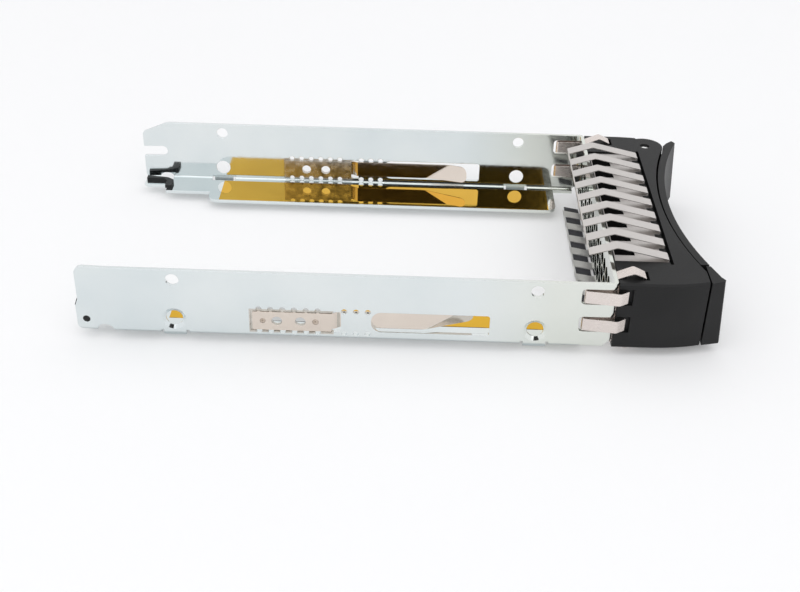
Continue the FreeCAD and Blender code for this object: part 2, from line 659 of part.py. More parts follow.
def snap_lugs():
    """Four snap lugs that hook over the drive side of the bulkhead."""
    start = BULKHEAD_REAR - LUG_HEAD
    inner, outer = LUG_Y - LUG / 2, LUG_Y + LUG / 2
    points = [(start, inner), (start, outer), (BULKHEAD_REAR, outer + LUG_CATCH), (BULKHEAD_REAR, inner)]
    heads = []
    for height in LUG_HEIGHTS:
        face = rounded_face(points, [0] * 4, on_xy(height - LUG / 2))
        heads.append(face.extrude(Vec(0, 0, LUG)))
    return lug_posts(start) + heads + [mirrored(head) for head in heads]


def side_finger(height):
    """Side finger of the collar, from its base round the rail's notch to its tip."""
    inner = WALL_INNER - GASKET
    outer = WALL_OUTER
    base = BULKHEAD_FRONT + GASKET / 2
    path = [(base, NOTCH_INNER - 1), (base, inner), (SIDE_FINGER_REAR - 0.6, inner)]
    path += [(SIDE_FINGER_REAR - 0.6, outer), (SIDE_FINGER_BULGE_X, outer + SIDE_FINGER_BULGE)]
    path += [(SIDE_FINGER_TIP, outer + SIDE_FINGER_BULGE - SIDE_FINGER_TIP_DROP)]
    half = (outer - inner) / 2 - 0.01
    face = bent_sheet(path, (0, half, half, 1.0), GASKET, on_xy(height - SIDE_FINGER_WIDTH / 2))
    return face.extrude(Vec(0, 0, SIDE_FINGER_WIDTH))


def corner_finger():
    """Single finger over the top of the bezel, at the right end of the collar."""
    base = BULKHEAD_FRONT + GASKET / 2
    low = RAIL_HEIGHT - CORNER_FINGER_DROP
    top = RAIL_HEIGHT + GASKET
    path = [(base, RAIL_HEIGHT - 2), (base, low), (CORNER_FINGER_PEAK, RAIL_HEIGHT + CORNER_FINGER_RISE)]
    path += [(CORNER_FINGER_END, top), (CORNER_FINGER_END, top - CORNER_FINGER_TAIL)]
    start = CORNER_FINGER_Y - FINGER_WIDTH / 2
    face = bent_sheet(path, (0, 0.8, 0), GASKET, on_xz(start))
    return face.extrude(Vec(0, FINGER_WIDTH, 0))


def emi_collar():
    """Gasket sheet between bulkhead and bezel, with fingers at its sides and corners."""
    edge = WALL_OUTER - FOLD_OUTER_RADIUS
    levels = (COLLAR_DROP, RAIL_HEIGHT - COLLAR_DROP)
    base = block((BULKHEAD_FRONT, BEZEL_REAR), (-edge, edge), levels)
    half = WALL_OUTER - COLLAR_END
    window = block((BULKHEAD_REAR, BEZEL_REAR + 1), (-half, half), (COLLAR_BAND, RAIL_HEIGHT - COLLAR_BAND))
    fingers = [side_finger(height) for height in SIDE_FINGER_HEIGHTS]
    fingers += [corner_finger(), upside_down(corner_finger())]
    fingers += [mirrored(finger) for finger in fingers]
    return joined([base.cut(window)] + fingers).cut(lug_posts(BULKHEAD_REAR))


def emi_strip(rise):
    """Row of gasket fingers along the top of the bezel, joined by a base and a rear rim."""
    base = RAIL_HEIGHT - STRIP_RECESS + GASKET / 2
    top = base + 2 * STRIP_TUCK_RADIUS
    rim_top = RAIL_HEIGHT + STRIP_RIM_RISE
    tuck = STRIP_TUCK - GASKET / 2
    path = [(STRIP_BASE_FRONT, base), (tuck, base), (tuck, top), (STRIP_PEAK, RAIL_HEIGHT + rise)]
    path += [(STRIP_RIM, rim_top), (STRIP_RIM, rim_top - STRIP_LIP)]
    pieces = []
    for index in range(FINGER_COUNT):
        start = (index - (FINGER_COUNT - 1) / 2) * FINGER_PITCH - FINGER_WIDTH / 2
        face = bent_sheet(path, (0, 0, 1.2, 0), GASKET, on_xz(start))
        pieces.append(face.extrude(Vec(0, FINGER_WIDTH, 0)))
    slope = toward(path[4], path[3])
    rim_path = [(STRIP_RIM + slope[0] * STRIP_RIM_FLAT, rim_top + slope[1] * STRIP_RIM_FLAT)] + path[4:]
    rim = bent_sheet(rim_path, (0,), GASKET, on_xz(-STRIP_HALF_LENGTH))
    pieces.append(rim.extrude(Vec(0, 2 * STRIP_HALF_LENGTH, 0)))
    edge = STRIP_HALF_LENGTH + STRIP_END_MARGIN
    levels = (base - GASKET / 2, base + GASKET / 2)
    plate = block((BEZEL_REAR + STRIP_REAR_GAP, STRIP_BASE_FRONT + GASKET), (-edge, edge), levels)
    windows = []
    reach = (STRIP_WINDOW_START, STRIP_WINDOW_END)
    for index in range(FINGER_COUNT - 1):
        middle = (index - FINGER_COUNT / 2 + 1) * FINGER_PITCH
        half = (FINGER_PITCH - STRIP_WINDOW_BAR) / 2
        windows.append(block(reach, (middle - half, middle + half), (base - 1, base + 1)))
    return joined([plate.cut(windows)] + pieces)


def side_y(x):
    """Half width of the front end, which narrows past the flat of the sides."""
    past = max(0.0, x - BEZEL_FLAT_END)
    return BEZEL_SIDE - (BEZEL_SIDE_RADIUS - math.sqrt(BEZEL_SIDE_RADIUS ** 2 - past ** 2))


def bow_x(middle, radius, y):
    """X of a bowed front edge at a distance from the middle."""
    return middle + radius - math.sqrt(radius ** 2 - y ** 2)


def meeting_y(middle, radius, knuckle):
    """Y where a bowed edge meets a circle round the pivot, on the side of the middle."""
    low, high = PIVOT[1] - knuckle, PIVOT[1]
    for _ in range(60):
        y = (low + high) / 2
        reach = math.hypot(bow_x(middle, radius, y) - PIVOT[0], y - PIVOT[1])
        low, high = (y, high) if reach > knuckle else (low, y)
    return y


def bezel_outline():
    """Plan of the bezel, bowed at the front, with a round knuckle at the pivot."""
    front = GROOVE_MIDDLE - GROOVE_GAP / 2
    straight_x = GROOVE_STRAIGHT - GROOVE_GAP / 2
    bow_end = -math.sqrt(GROOVE_RADIUS ** 2 - (front + GROOVE_RADIUS - straight_x) ** 2)
    meet_y = meeting_y(front, GROOVE_RADIUS, KNUCKLE_RADIUS)
    meet = (bow_x(front, GROOVE_RADIUS, meet_y), meet_y)
    knuckle_end = polar(PIVOT, KNUCKLE_RADIUS, 112)
    notch_x = knuckle_end[0] - NOTCH_WIDTH
    middle_x = (BEZEL_FLAT_END + straight_x) / 2
    notch_middle_x = (BEZEL_FLAT_END + notch_x) / 2
    plan = on_xy(0)
    edges = straight((BEZEL_REAR, -BEZEL_SIDE), (BEZEL_FLAT_END, -BEZEL_SIDE), plan)
    edges.append(arc((BEZEL_FLAT_END, -BEZEL_SIDE), (middle_x, -side_y(middle_x)),
                     (straight_x, -side_y(straight_x)), plan))
    edges += straight((straight_x, -side_y(straight_x)), (straight_x, bow_end), plan)
    edges.append(arc((straight_x, bow_end), (front, 0), meet, plan))
    edges.append(arc(meet, polar(PIVOT, KNUCKLE_RADIUS, 40), knuckle_end, plan))
    edges += straight(knuckle_end, (notch_x, side_y(notch_x)), plan)
    edges.append(arc((notch_x, side_y(notch_x)), (notch_middle_x, side_y(notch_middle_x)),
                     (BEZEL_FLAT_END, BEZEL_SIDE), plan))
    edges += straight((BEZEL_FLAT_END, BEZEL_SIDE), (BEZEL_REAR, BEZEL_SIDE), plan)
    edges += straight((BEZEL_REAR, BEZEL_SIDE), (BEZEL_REAR, -BEZEL_SIDE), plan)
    return face_of(edges)


def strip_recess(shift):
    """Recess and tuck groove for a gasket strip in the top of the bezel."""
    edge = STRIP_HALF_LENGTH + STRIP_END_MARGIN + RECESS_MARGIN
    front = STRIP_TUCK + TUCK_GROOVE + shift
    recess = block((BEZEL_REAR - 1, front), (-edge, edge), (RAIL_HEIGHT - STRIP_RECESS, RAIL_HEIGHT + 1))
    groove = block((STRIP_TUCK + shift, front), (-edge - 0.9, edge + 0.9),
                   (RAIL_HEIGHT - TUCK_GROOVE_DEPTH, RAIL_HEIGHT + 1))
    return [recess, groove]


def finger_pockets():
    """Pockets on the right for the tips of the side fingers and the corner fingers."""
    pockets = []
    for height in SIDE_FINGER_HEIGHTS:
        half = SIDE_FINGER_WIDTH / 2 + POCKET_MARGIN
        depth = (BEZEL_SIDE - SIDE_POCKET_DEPTH, BEZEL_SIDE + 1)
        pockets.append(block((BEZEL_REAR - 1, BEZEL_REAR + SIDE_POCKET_LENGTH), depth,
                             (height - half, height + half)))
    half = FINGER_WIDTH / 2 + POCKET_MARGIN / 2
    front = CORNER_FINGER_END - POCKET_MARGIN + CORNER_POCKET_LENGTH
    across_finger = (CORNER_FINGER_Y - half, CORNER_FINGER_Y + half)
    corner = block((CORNER_FINGER_END - POCKET_MARGIN, front), across_finger,
                   (RAIL_HEIGHT - CORNER_POCKET_DEPTH, RAIL_HEIGHT + 1))
    root = block((BEZEL_REAR - 1, BEZEL_REAR + CORNER_ROOT_LENGTH), across_finger,
                 (RAIL_HEIGHT - CORNER_ROOT_DEPTH, RAIL_HEIGHT + 1))
    return pockets + [corner, root, upside_down(corner), upside_down(root)]


def bezel_body():
    """Moulded bezel with its air duct, gasket recesses, hub knuckle and latch cavity."""
    body = bezel_outline().extrude(Vec(0, 0, RAIL_HEIGHT))
    long_edges = [edge for edge in body.Edges
                  if abs(edge.BoundBox.YMin + edge.BoundBox.YMax) > BEZEL_SIDE
                  and edge.BoundBox.XMax - edge.BoundBox.XMin > BEZEL_EDGE * 5
                  and edge.BoundBox.XMin < PIVOT_X - KNUCKLE_RADIUS]
    body = body.makeChamfer(BEZEL_EDGE, long_edges)
    duct = block((BEZEL_REAR - 1, GROOVE_STRAIGHT + 1), (-DUCT_HALF_WIDTH, DUCT_HALF_WIDTH),
                 (DUCT_WALL, RAIL_HEIGHT - DUCT_WALL))
    cuts = [duct] + strip_recess(0)
    cuts += [upside_down(cut) for cut in strip_recess(BOTTOM_STRIP_SHIFT)]
    cuts += finger_pockets() + [mirrored(pocket) for pocket in finger_pockets()]
    cuts.append(upright(PIVOT, HUB_RADIUS + HUB_ROOM, (HUB_WALL, RAIL_HEIGHT - HUB_WALL)))
    cuts.append(upright(PIVOT, PIVOT_PIN / 2, (-1, RAIL_HEIGHT + 1)))
    cuts.append(upright(PIVOT, PIVOT_PIN / 2 + PIVOT_RECESS_MARGIN,
                        (RAIL_HEIGHT - PIVOT_RECESS, RAIL_HEIGHT + 1)))
    cuts.append(block((LATCH_CAVITY_REAR, GROOVE_STRAIGHT + 1), (CAVITY_OUTER, CAVITY_INNER),
                      (LATCH_CAVITY_WALL, RAIL_HEIGHT - LATCH_CAVITY_WALL)))
    cuts.append(upright(LATCH_PIVOT, LATCH_PIN / 2, (-1, RAIL_HEIGHT - LATCH_CAVITY_WALL / 2)))
    cuts.append(spring_leg(0, -COIL_ANCHOR_LEG))
    return joined([body.cut(cuts)] + snap_lugs())


def ruled_solid(low_edges, high_edges):
    """Solid between two outlines with matching edges."""
    return Part.makeLoft([Part.Wire(low_edges), Part.Wire(high_edges)], True, True)


def lever_bar_edges(height, lean):
    """Outline of the lever's bar at a height, its front moved forward by the lean."""
    knuckle = KNUCKLE_RADIUS + GROOVE_GAP
    back = GROOVE_MIDDLE + GROOVE_GAP / 2
    end_y = SEAM_Y + SEAM_GAP / 2
    meet_y = meeting_y(back, GROOVE_RADIUS, knuckle)
    meet = (bow_x(back, GROOVE_RADIUS, meet_y), meet_y)
    inner_end = polar(PIVOT, knuckle, 10)
    middle_angle = (math.degrees(math.atan2(meet[1] - PIVOT[1], meet[0] - PIVOT[0])) + 10) / 2
    near_back = (bow_x(back, GROOVE_RADIUS, end_y), end_y)
    near_front = (bow_x(LEVER_FRONT, LEVER_FRONT_RADIUS, end_y) + lean, end_y)
    front_y = BEZEL_SIDE - TIP_FRONT_INSET
    far_front = (bow_x(LEVER_FRONT, LEVER_FRONT_RADIUS, front_y) + lean, front_y)
    nose = (TIP_NOSE_X + lean, BEZEL_SIDE - TIP_NOSE_INSET)
    heel = (TIP_HEEL_X + lean / 2, BEZEL_SIDE - TIP_HEEL_INSET)
    plan = on_xy(height)
    edges = straight(near_back, near_front, plan)
    edges.append(arc(near_front, (LEVER_FRONT + lean, 0), far_front, plan))
    edges += straight(far_front, nose, plan) + straight(nose, heel, plan) + straight(heel, inner_end, plan)
    edges.append(arc(inner_end, polar(PIVOT, knuckle, middle_angle), meet, plan))
    edges.append(arc(meet, (back, 0), near_back, plan))
    return edges


def lever():
    """Ejector lever: bowed front bar with a honeycomb vent, web and forked hub."""
    top = RAIL_HEIGHT - LEVER_END_PLAY
    bar = ruled_solid(lever_bar_edges(LEVER_END_PLAY, LEVER_LEAN), lever_bar_edges(top, 0.0))
    bar = bar.cut(honeycomb(BEZEL_SIDE - LEVER_CELLS_MARGIN, (GROOVE_MIDDLE - 1, TIP_NOSE_X + 3)))
    low, high = HUB_WALL + HUB_END_PLAY, RAIL_HEIGHT - HUB_WALL - HUB_END_PLAY
    ears = [upright(PIVOT, HUB_RADIUS, span) for span in ((low, low + HUB_EAR), (high - HUB_EAR, high))]
    middle = (WEB_FROM + WEB_TO) / 2
    plan = on_xy(low)
    edges = straight(polar(PIVOT, HUB_INNER_RADIUS, WEB_FROM), polar(PIVOT, WEB_REACH, WEB_FROM), plan)
    edges.append(arc(*[polar(PIVOT, WEB_REACH, angle) for angle in (WEB_FROM, middle, WEB_TO)], plan))
    edges += straight(polar(PIVOT, WEB_REACH, WEB_TO), polar(PIVOT, HUB_INNER_RADIUS, WEB_TO), plan)
    edges.append(arc(*[polar(PIVOT, HUB_INNER_RADIUS, angle) for angle in (WEB_TO, middle, WEB_FROM)], plan))
    web = face_of(edges).extrude(Vec(0, 0, high - low))
    bore = upright(PIVOT, PIVOT_PIN / 2 + RUNNING_GAP, (0, RAIL_HEIGHT))
    return joined([bar, web] + ears).cut(bore)


def spring_leg(turns, length):
    """Straight leg of the torsion spring, leaving the coil after the given turns."""
    start = polar(PIVOT, COIL_RADIUS, 360 * turns)
    height = MID_HEIGHT + (turns - COIL_TURNS / 2) * COIL_PITCH
    half = COIL_WIRE / 2
    leg = block((0, abs(length)), (-half, half), (-half, half))
    leg.rotate(Vec(0, 0, 0), Vec(0, 0, 1), 360 * turns + math.copysign(90, length))
    leg.translate(Vec(start[0], start[1], height))
    return leg


def lever_spring():
    """Torsion spring of square wire round the pivot pin, between the ears of the hub."""
    length = COIL_TURNS * COIL_PITCH
    centre = Vec(PIVOT[0], PIVOT[1], MID_HEIGHT - length / 2)
    helix = Part.makeHelix(COIL_PITCH, length, COIL_RADIUS)
    helix.translate(centre)
    half = COIL_WIRE / 2
    near, far = COIL_RADIUS - half, COIL_RADIUS + half
    corners = [centre + Vec(r, 0, h) for r, h in ((near, -half), (far, -half), (far, half), (near, half))]
    section = Part.makePolygon(corners + corners[:1])
    coil = Part.Wire(helix.Edges).makePipeShell([section], True, True)
    return joined([coil, spring_leg(0, -COIL_ANCHOR_LEG), spring_leg(COIL_TURNS, COIL_FREE_LEG)])


def latch_cap_edges(height, lean):
    """Outline of the latch's cap at a height, its front moved forward by the lean."""
    rear = GROOVE_STRAIGHT + GROOVE_GAP / 2
    inner_y = SEAM_Y - SEAM_GAP / 2
    side_x = LATCH_NOSE_X - LATCH_FRONT_OVERHANG / 2
    front = bow_x(LEVER_FRONT, LEVER_FRONT_RADIUS, inner_y) + lean
    chin = (LATCH_CHIN_X + lean, LATCH_CHIN_INSET - BEZEL_SIDE)
    nose = (LATCH_NOSE_X + lean, LATCH_NOSE_INSET - BEZEL_SIDE)
    corner = (side_x + lean, -side_y(side_x))
    middle_x = (rear + side_x) / 2
    plan = on_xy(height)
    edges = straight((rear, inner_y), (rear, -side_y(rear)), plan)
    edges.append(arc((rear, -side_y(rear)), (middle_x + lean / 2, -side_y(middle_x)), corner, plan))
    edges += straight(corner, nose, plan) + straight(nose, chin, plan)
    edges += straight(chin, (front, inner_y), plan) + straight((front, inner_y), (rear, inner_y), plan)
    return edges


def release_latch():
    """Latch at the free end of the lever: a cap on an arm that turns on a pin."""
    top = RAIL_HEIGHT - LEVER_END_PLAY
    cap = ruled_solid(latch_cap_edges(LEVER_END_PLAY, LEVER_LEAN), latch_cap_edges(top, 0.0))
    low = LATCH_CAVITY_WALL + LATCH_ARM_MARGIN
    high = RAIL_HEIGHT - low
    arm = block((LATCH_PIVOT_X, GROOVE_STRAIGHT + 1), (LATCH_ARM_OUTER, LATCH_ARM_INNER), (low, high))
    hub = upright(LATCH_PIVOT, LATCH_HUB_RADIUS, (low, high))
    bore = upright(LATCH_PIVOT, LATCH_PIN / 2 + RUNNING_GAP, (0, RAIL_HEIGHT))
    return joined([cap, arm, hub]).cut(bore)


def latch_spring():
    """Folded leaf spring that pushes the latch's arm away from the outer wall of its cavity."""
    wall_y = CAVITY_OUTER + LATCH_LEAF / 2
    arm_y = LATCH_ARM_OUTER - LATCH_LEAF / 2 - RUNNING_GAP
    path = [(LATCH_LEAF_END, wall_y), (LATCH_LEAF_FOLD, wall_y), (LATCH_LEAF_END, arm_y)]
    face = bent_sheet(path, (0.25,), LATCH_LEAF, on_xy(MID_HEIGHT - LATCH_LEAF_WIDTH / 2))
    return face.extrude(Vec(0, 0, LATCH_LEAF_WIDTH))


def bottom_strip():
    """Gasket strip of the underside, the top one turned over and set a little forward."""
    strip = upside_down(emi_strip(BOTTOM_STRIP_RISE))
    strip.translate(Vec(BOTTOM_STRIP_SHIFT, 0, 0))
    return strip


def build_nodes():
    """Every piece of the caddy by its node name."""
    spring = leaf_spring()
    pin_top = RAIL_HEIGHT - PIVOT_RECESS
    return {
        "chassis_frame": chassis_frame(),
        "right_leaf_spring": spring,
        "left_leaf_spring": mirrored(spring),
        "right_insulating_film": insulating_film(RIGHT_FILM_REAR, RIGHT_FILM_WALL_GAP),
        "left_insulating_film": mirrored(insulating_film(LEFT_FILM_REAR, LEFT_FILM_WALL_GAP)),
        "right_rear_bumper": bumper_bar(),
        "left_rear_bumper": left_rear_bumper(),
        "emi_collar": emi_collar(),
        "emi_top_strip": emi_strip(TOP_STRIP_RISE),
        "emi_bottom_strip": bottom_strip(),
        "bezel_body": bezel_body(),
        "lever": lever(),
        "lever_pivot_pin": upright(PIVOT, PIVOT_PIN / 2, (PIVOT_RECESS, pin_top)),
        "lever_spring": lever_spring(),
        "release_latch": release_latch(),
        "latch_pivot_pin": upright(LATCH_PIVOT, LATCH_PIN / 2,
                                   (LATCH_PIN_BASE, RAIL_HEIGHT - LATCH_CAVITY_WALL / 2)),
        "latch_spring": latch_spring(),
    }


os.makedirs("parts", exist_ok=True)
for name, shape in build_nodes().items():
    shape.exportStep("parts/" + name + ".step")
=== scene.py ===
import json
import math

import bmesh
import bpy
from mathutils import Matrix, Vector


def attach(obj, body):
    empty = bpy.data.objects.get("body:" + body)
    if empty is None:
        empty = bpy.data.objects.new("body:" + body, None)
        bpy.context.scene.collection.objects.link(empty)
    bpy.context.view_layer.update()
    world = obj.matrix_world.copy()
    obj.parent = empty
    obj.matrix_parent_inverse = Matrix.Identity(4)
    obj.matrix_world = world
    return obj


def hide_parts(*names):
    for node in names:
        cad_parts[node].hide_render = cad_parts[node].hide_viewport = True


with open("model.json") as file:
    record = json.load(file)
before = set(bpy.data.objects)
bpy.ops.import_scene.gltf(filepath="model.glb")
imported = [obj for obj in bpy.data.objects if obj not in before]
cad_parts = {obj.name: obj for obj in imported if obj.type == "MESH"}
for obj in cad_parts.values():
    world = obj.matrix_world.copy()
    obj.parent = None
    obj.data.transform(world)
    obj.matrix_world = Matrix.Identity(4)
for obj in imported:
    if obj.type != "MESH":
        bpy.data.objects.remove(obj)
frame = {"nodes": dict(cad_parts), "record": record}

bl_info = {
    "name": "Hot Swap Drive Caddy Looks",
    "version": (1, 0, 0),
    "blender": (4, 5, 0),
    "location": "3D View > Sidebar > Caddy",
    "description": "Builds the finished surfaces, fine details and studio of a hot swap drive caddy",
    "category": "Object",
}

MM = 0.001

# The camera fitted to the photograph: place in millimetres, viewing direction and picture's right side
CAMERA_PLACE = (49.65, -248.42, 148.07)
CAMERA_FORWARD = (-0.00741, 0.84098, -0.54101)
CAMERA_RIGHT = (0.99943, 0.02404, 0.02367)
CAMERA_LENS = 54.45
SENSOR_WIDTH = 36.0

# Height of the rails, about whose middle the lower strip is turned over
RAIL_HEIGHT = 16.0

# Side view of a gasket strip, in millimetres
STRIP_THICKNESS = 0.2
PLATE_HEIGHT = 15.55
RIM_X, RIM_TOP, RIM_DROP = 87.9, 16.8, 0.4
RIM_TAB, RIM_RADIUS = 0.2, 0.08
CREST_X, CREST_RADIUS = 93.7, 0.9
FOOT_X, FRONT_X, FRONT_RISE, FRONT_RADIUS = 103.4, 104.96, 0.62, 0.29

# Plate of a gasket strip: lines across it, half a window's width and the margin beside the fingers
PLATE_X_LINES = (93.45, 93.65, 98.0, 103.6)
WINDOW_HALF, PLATE_MARGIN = 2.1, 0.4

# Black sheet below the windows of the top strip and black lip behind the bottom fingers, dark sheets
# that stand in for shade (painted shade), in millimetres
SHADE_SHEET_X, SHADE_SHEET_Z = (93.7, 97.95), (15.44, 15.5)
SHADE_LIP_PATH, SHADE_LIP_THICKNESS, SHADE_LIP_OVERHANG = ((88.95, -1.07), (92.6, -1.72)), 0.12, 4.2

# Spot-weld marks on the left leaf plate: place, radius and height in millimetres
WELD_MARKS = (((18.8, -36.1, 4.15), 0.62, 0.05), ((30.0, -36.1, 4.2), 0.70, 0.06))
WELD_SIDES, WELD_RINGS = 20, 6

# Parts of the surface: low and high corner as x, distance from the middle and z, and how softly it ends
SEAT_BOX, SEAT_BLUR = ((16.0, 34.6, 1.3), (33.8, 37.0, 7.0)), 0.15
FRONT_BOX, FRONT_BLUR = ((80.0, -5.0, -5.0), (130.0, 60.0, 40.0)), 18.0
# Bottom bends of the rails, darkened with painted shade
FOLD_SHADE_BOX, FOLD_SHADE_BLUR = ((-30.0, 35.3, -1.0), (86.0, 37.0, 0.35)), 0.5
BARE_BOX, BARE_BLUR = ((15.6, 20.0, -1.0), (34.4, 40.0, 3.0)), 0.02

# Surface detail: depth of a bump and softened edge of film and foam in metres, directions of the grain
BUMP_DEPTH = 0.00002
FILM_EDGE = 0.00003
EVEN, GRAIN_ALONG_X, GRAIN_ALONG_Y = (1.0, 1.0, 1.0), (0.15, 1.0, 1.0), (1.0, 0.15, 1.0)
NOISE_LOW, NOISE_HIGH = 0.3, 0.7

# Studio, in metres: floor and backdrop, dark card at the camera, and overhead light
FLOOR_LEVEL = -0.0020
FLOOR_ACROSS = (-1.6, 1.7)
FLOOR_PATH = ((-1.6, FLOOR_LEVEL), (1.5, FLOOR_LEVEL), (1.5, 1.4))
FLOOR_SWEEP, FLOOR_STEP = 0.6, 0.1
CARD_X, CARD_Z, CARD_SETBACK = (-0.062, 0.075), (-0.045, 0.045), 0.004
KEY_PLACE, KEY_TARGET, KEY_SIZE = (0.0, -0.50, 0.95), (0.05, 0.0, 0.0), (1.6, 1.2)

# Room light: colour and the height in the sky at which it is full
ROOM_COLOUR, ROOM_FULL = (0.98, 0.985, 1.0, 1.0), 0.5

# Backdrop: heights in metres between which it turns white, and how white it gets
BACKDROP_LOW, BACKDROP_HIGH, BACKDROP_WHITE = 0.02, 0.45, 0.92


# Shapes

def rounded_path(points, radii, step=0.2):
    """Points in the plane along a path whose corners are rounded, with a step in radians."""
    path = [Vector(points[0])]
    for index in range(1, len(points) - 1):
        before, corner, after = (Vector(points[index + shift]) for shift in (-1, 0, 1))
        back, ahead = (before - corner).normalized(), (after - corner).normalized()
        half = back.angle(ahead) / 2
        radius = radii[index - 1]
        start = corner + back * (radius / math.tan(half))
        centre = corner + (back + ahead).normalized() * (radius / math.sin(half))
        turn = math.pi - 2 * half
        side = 1 if back.x * ahead.y - back.y * ahead.x < 0 else -1
        count = max(2, math.ceil(turn / step))
        spoke = start - centre
        for part in range(count + 1):
            path.append(centre + Matrix.Rotation(side * turn * part / count, 2) @ spoke)
    path.append(Vector(points[-1]))
    return path


def sheet_section(path, thickness):
    """Two sides of a thin sheet that follows a path, as points in the plane."""
    normals = []
    for index in range(len(path)):
        before = path[max(0, index - 1)]
        after = path[min(len(path) - 1, index + 1)]
        ahead = (after - before).normalized()
        normals.append(Vector((-ahead.y, ahead.x)))
    left = [point + normal * thickness / 2 for point, normal in zip(path, normals)]
    right = [point - normal * thickness / 2 for point, normal in zip(path, normals)]
    return left, right


def built_mesh(name, vertices, faces):
    """Closed mesh whose faces all point outwards."""
    mesh = bpy.data.meshes.new(name)
    mesh.from_pydata(vertices, [], faces)
    work = bmesh.new()
    work.from_mesh(mesh)
    bmesh.ops.recalc_face_normals(work, faces=work.faces)
    if any(not edge.is_manifold for edge in work.edges):
        raise RuntimeError("the mesh " + name + " is open")
    work.to_mesh(mesh)
    work.free()
    mesh.update()
    return mesh


def sheet_mesh(name, path, thickness, low, high, place):
    """Mesh of a thin sheet that follows a path and spans low to high across it, sizes in millimetres."""
    left, right = sheet_section(path, thickness)
    count = len(path)
    vertices = []
    for across in (low, high):
        for point in left + right:
            vertices.append(place(point.x, point.y, across) * MM)
    ring = 2 * count
    faces = []
    for index in range(count - 1):
        following = index + 1
        faces.append((index, following, following + ring, index + ring))
        under, under_next = index + count, following + count
        faces.append((under_next, under, under + ring, under_next + ring))
        faces.append((following, index, under, under_next))
        faces.append((index + ring, following + ring, under_next + ring, under + ring))
    for index in (0, count - 1):
        faces.append((index, index + ring, index + count + ring, index + count))
    return built_mesh(name, vertices, faces)


def plate_mesh(name, x_lines, y_lines, is_open, z_low, z_high):
    """Mesh of a flat plate on a grid of lines, with openings where is_open(column, row) says so."""
    vertices, faces, seen = [], [], {}

    def corner(column, row, top):
        key = (column, row, top)
        if key not in seen:
            seen[key] = len(vertices)
            vertices.append(Vector((x_lines[column], y_lines[row], z_high if top else z_low)) * MM)
        return seen[key]

    columns, rows = len(x_lines) - 1, len(y_lines) - 1

    def solid(column, row):
        return 0 <= column < columns and 0 <= row < rows and not is_open(column, row)

    for column in range(columns):
        for row in range(rows):
            if not solid(column, row):
                continue
            loop = [(column, row), (column + 1, row), (column + 1, row + 1), (column, row + 1)]
            faces.append([corner(c, r, True) for c, r in loop])
            faces.append([corner(c, r, False) for c, r in reversed(loop)])
            beside = [(column, row - 1), (column + 1, row), (column, row + 1), (column - 1, row)]
            for index, neighbour in enumerate(beside):
                if not solid(*neighbour):
                    a, b = loop[index], loop[(index + 1) % 4]
                    wall = ((a, False), (b, False), (b, True), (a, True))
                    faces.append([corner(*spot, top) for spot, top in wall])
    return built_mesh(name, vertices, faces)


def ring_mesh(name, radius, height, sides, rings):
    """Mesh of a round shallow mark with a raised rim, lying in the XZ plane and facing -Y."""
    vertices, faces = [], []
    inner, lift = 0.02, 0.35
    for ring in range(rings + 1):
        share = ring / rings
        rise = height * math.sin(math.pi * share) ** 2 * (lift + (1 - lift) * share)
        for side in range(sides):
            angle = 2 * math.pi * side / sides
            reach = radius * max(share, inner)
            vertices.append(Vector((reach * math.cos(angle), -rise, reach * math.sin(angle))) * MM)
    for ring in range(rings):
        for side in range(sides):
            following = (side + 1) % sides
            low, high = ring * sides, (ring + 1) * sides
            faces.append((low + side, low + following, high + following, high + side))
    faces.append(tuple(range(sides)))
    faces.append(tuple(reversed(range(rings * sides, (rings + 1) * sides))))
    return built_mesh(name, vertices, faces)


def join_meshes(target, extra):
    """Add the geometry of the extra object to the target and remove the extra one."""
    vertices = [v.co.copy() for v in target.data.vertices]
    faces = [tuple(p.vertices) for p in target.data.polygons]
    shift = len(vertices)
    vertices += [v.co.copy() for v in extra.data.vertices]
    faces += [tuple(index + shift for index in p.vertices) for p in extra.data.polygons]
    mesh = bpy.data.meshes.new(target.name)
    mesh.from_pydata(vertices, [], faces)
    mesh.update()
    target.data = mesh
    bpy.data.objects.remove(extra)


def slab_mesh(name, low, high):
    """Closed block between two corners, sizes in millimetres, with a narrow chamfer on every edge."""
    chamfer_share = 0.2
    work = bmesh.new()
    bmesh.ops.create_cube(work, size=1.0)
    middle = (Vector(low) + Vector(high)) / 2
    span = Vector(high) - Vector(low)
    for vertex in work.verts:
        vertex.co = Vector([(middle[axis] + vertex.co[axis] * span[axis]) * MM for axis in range(3)])
    chamfer = min(span) * chamfer_share * MM
    bmesh.ops.bevel(work, geom=work.edges[:], offset=chamfer, segments=1, affect="EDGES")
    bmesh.ops.recalc_face_normals(work, faces=work.faces)
    mesh = bpy.data.meshes.new(name)
    work.to_mesh(mesh)
    work.free()
    return mesh


def add_object(name, mesh):
    """Object in the scene with a mesh."""
    obj = bpy.data.objects.new(name, mesh)
    bpy.context.scene.collection.objects.link(obj)
    return obj


def soften(mesh, degrees=35):
    """Smooth shading with sharp edges above an angle."""
    mesh.shade_smooth()
    mesh.set_sharp_from_angle(angle=math.radians(degrees))


# Node helpers

def new_material(name):
    """Empty node material with its output and principled shader."""
    material = bpy.data.materials.new(name)
    material.use_nodes = True
    tree = material.node_tree
    tree.nodes.clear()
    output = tree.nodes.new("ShaderNodeOutputMaterial")
    shader = tree.nodes.new("ShaderNodeBsdfPrincipled")
    tree.links.new(shader.outputs["BSDF"], output.inputs["Surface"])
    return material, tree, shader


def feed(tree, value, socket):
    """Set a socket to a value, or link it where the value is another node's socket."""
    if isinstance(value, bpy.types.NodeSocket):
        tree.links.new(value, socket)
    else:
        socket.default_value = value


def calculated(tree, operation, *values):
    """Result of a Math node on sockets and numbers."""
    node = tree.nodes.new("ShaderNodeMath")
    node.operation = operation
    for value, socket in zip(values, node.inputs):
        feed(tree, value, socket)
    return node.outputs[0]


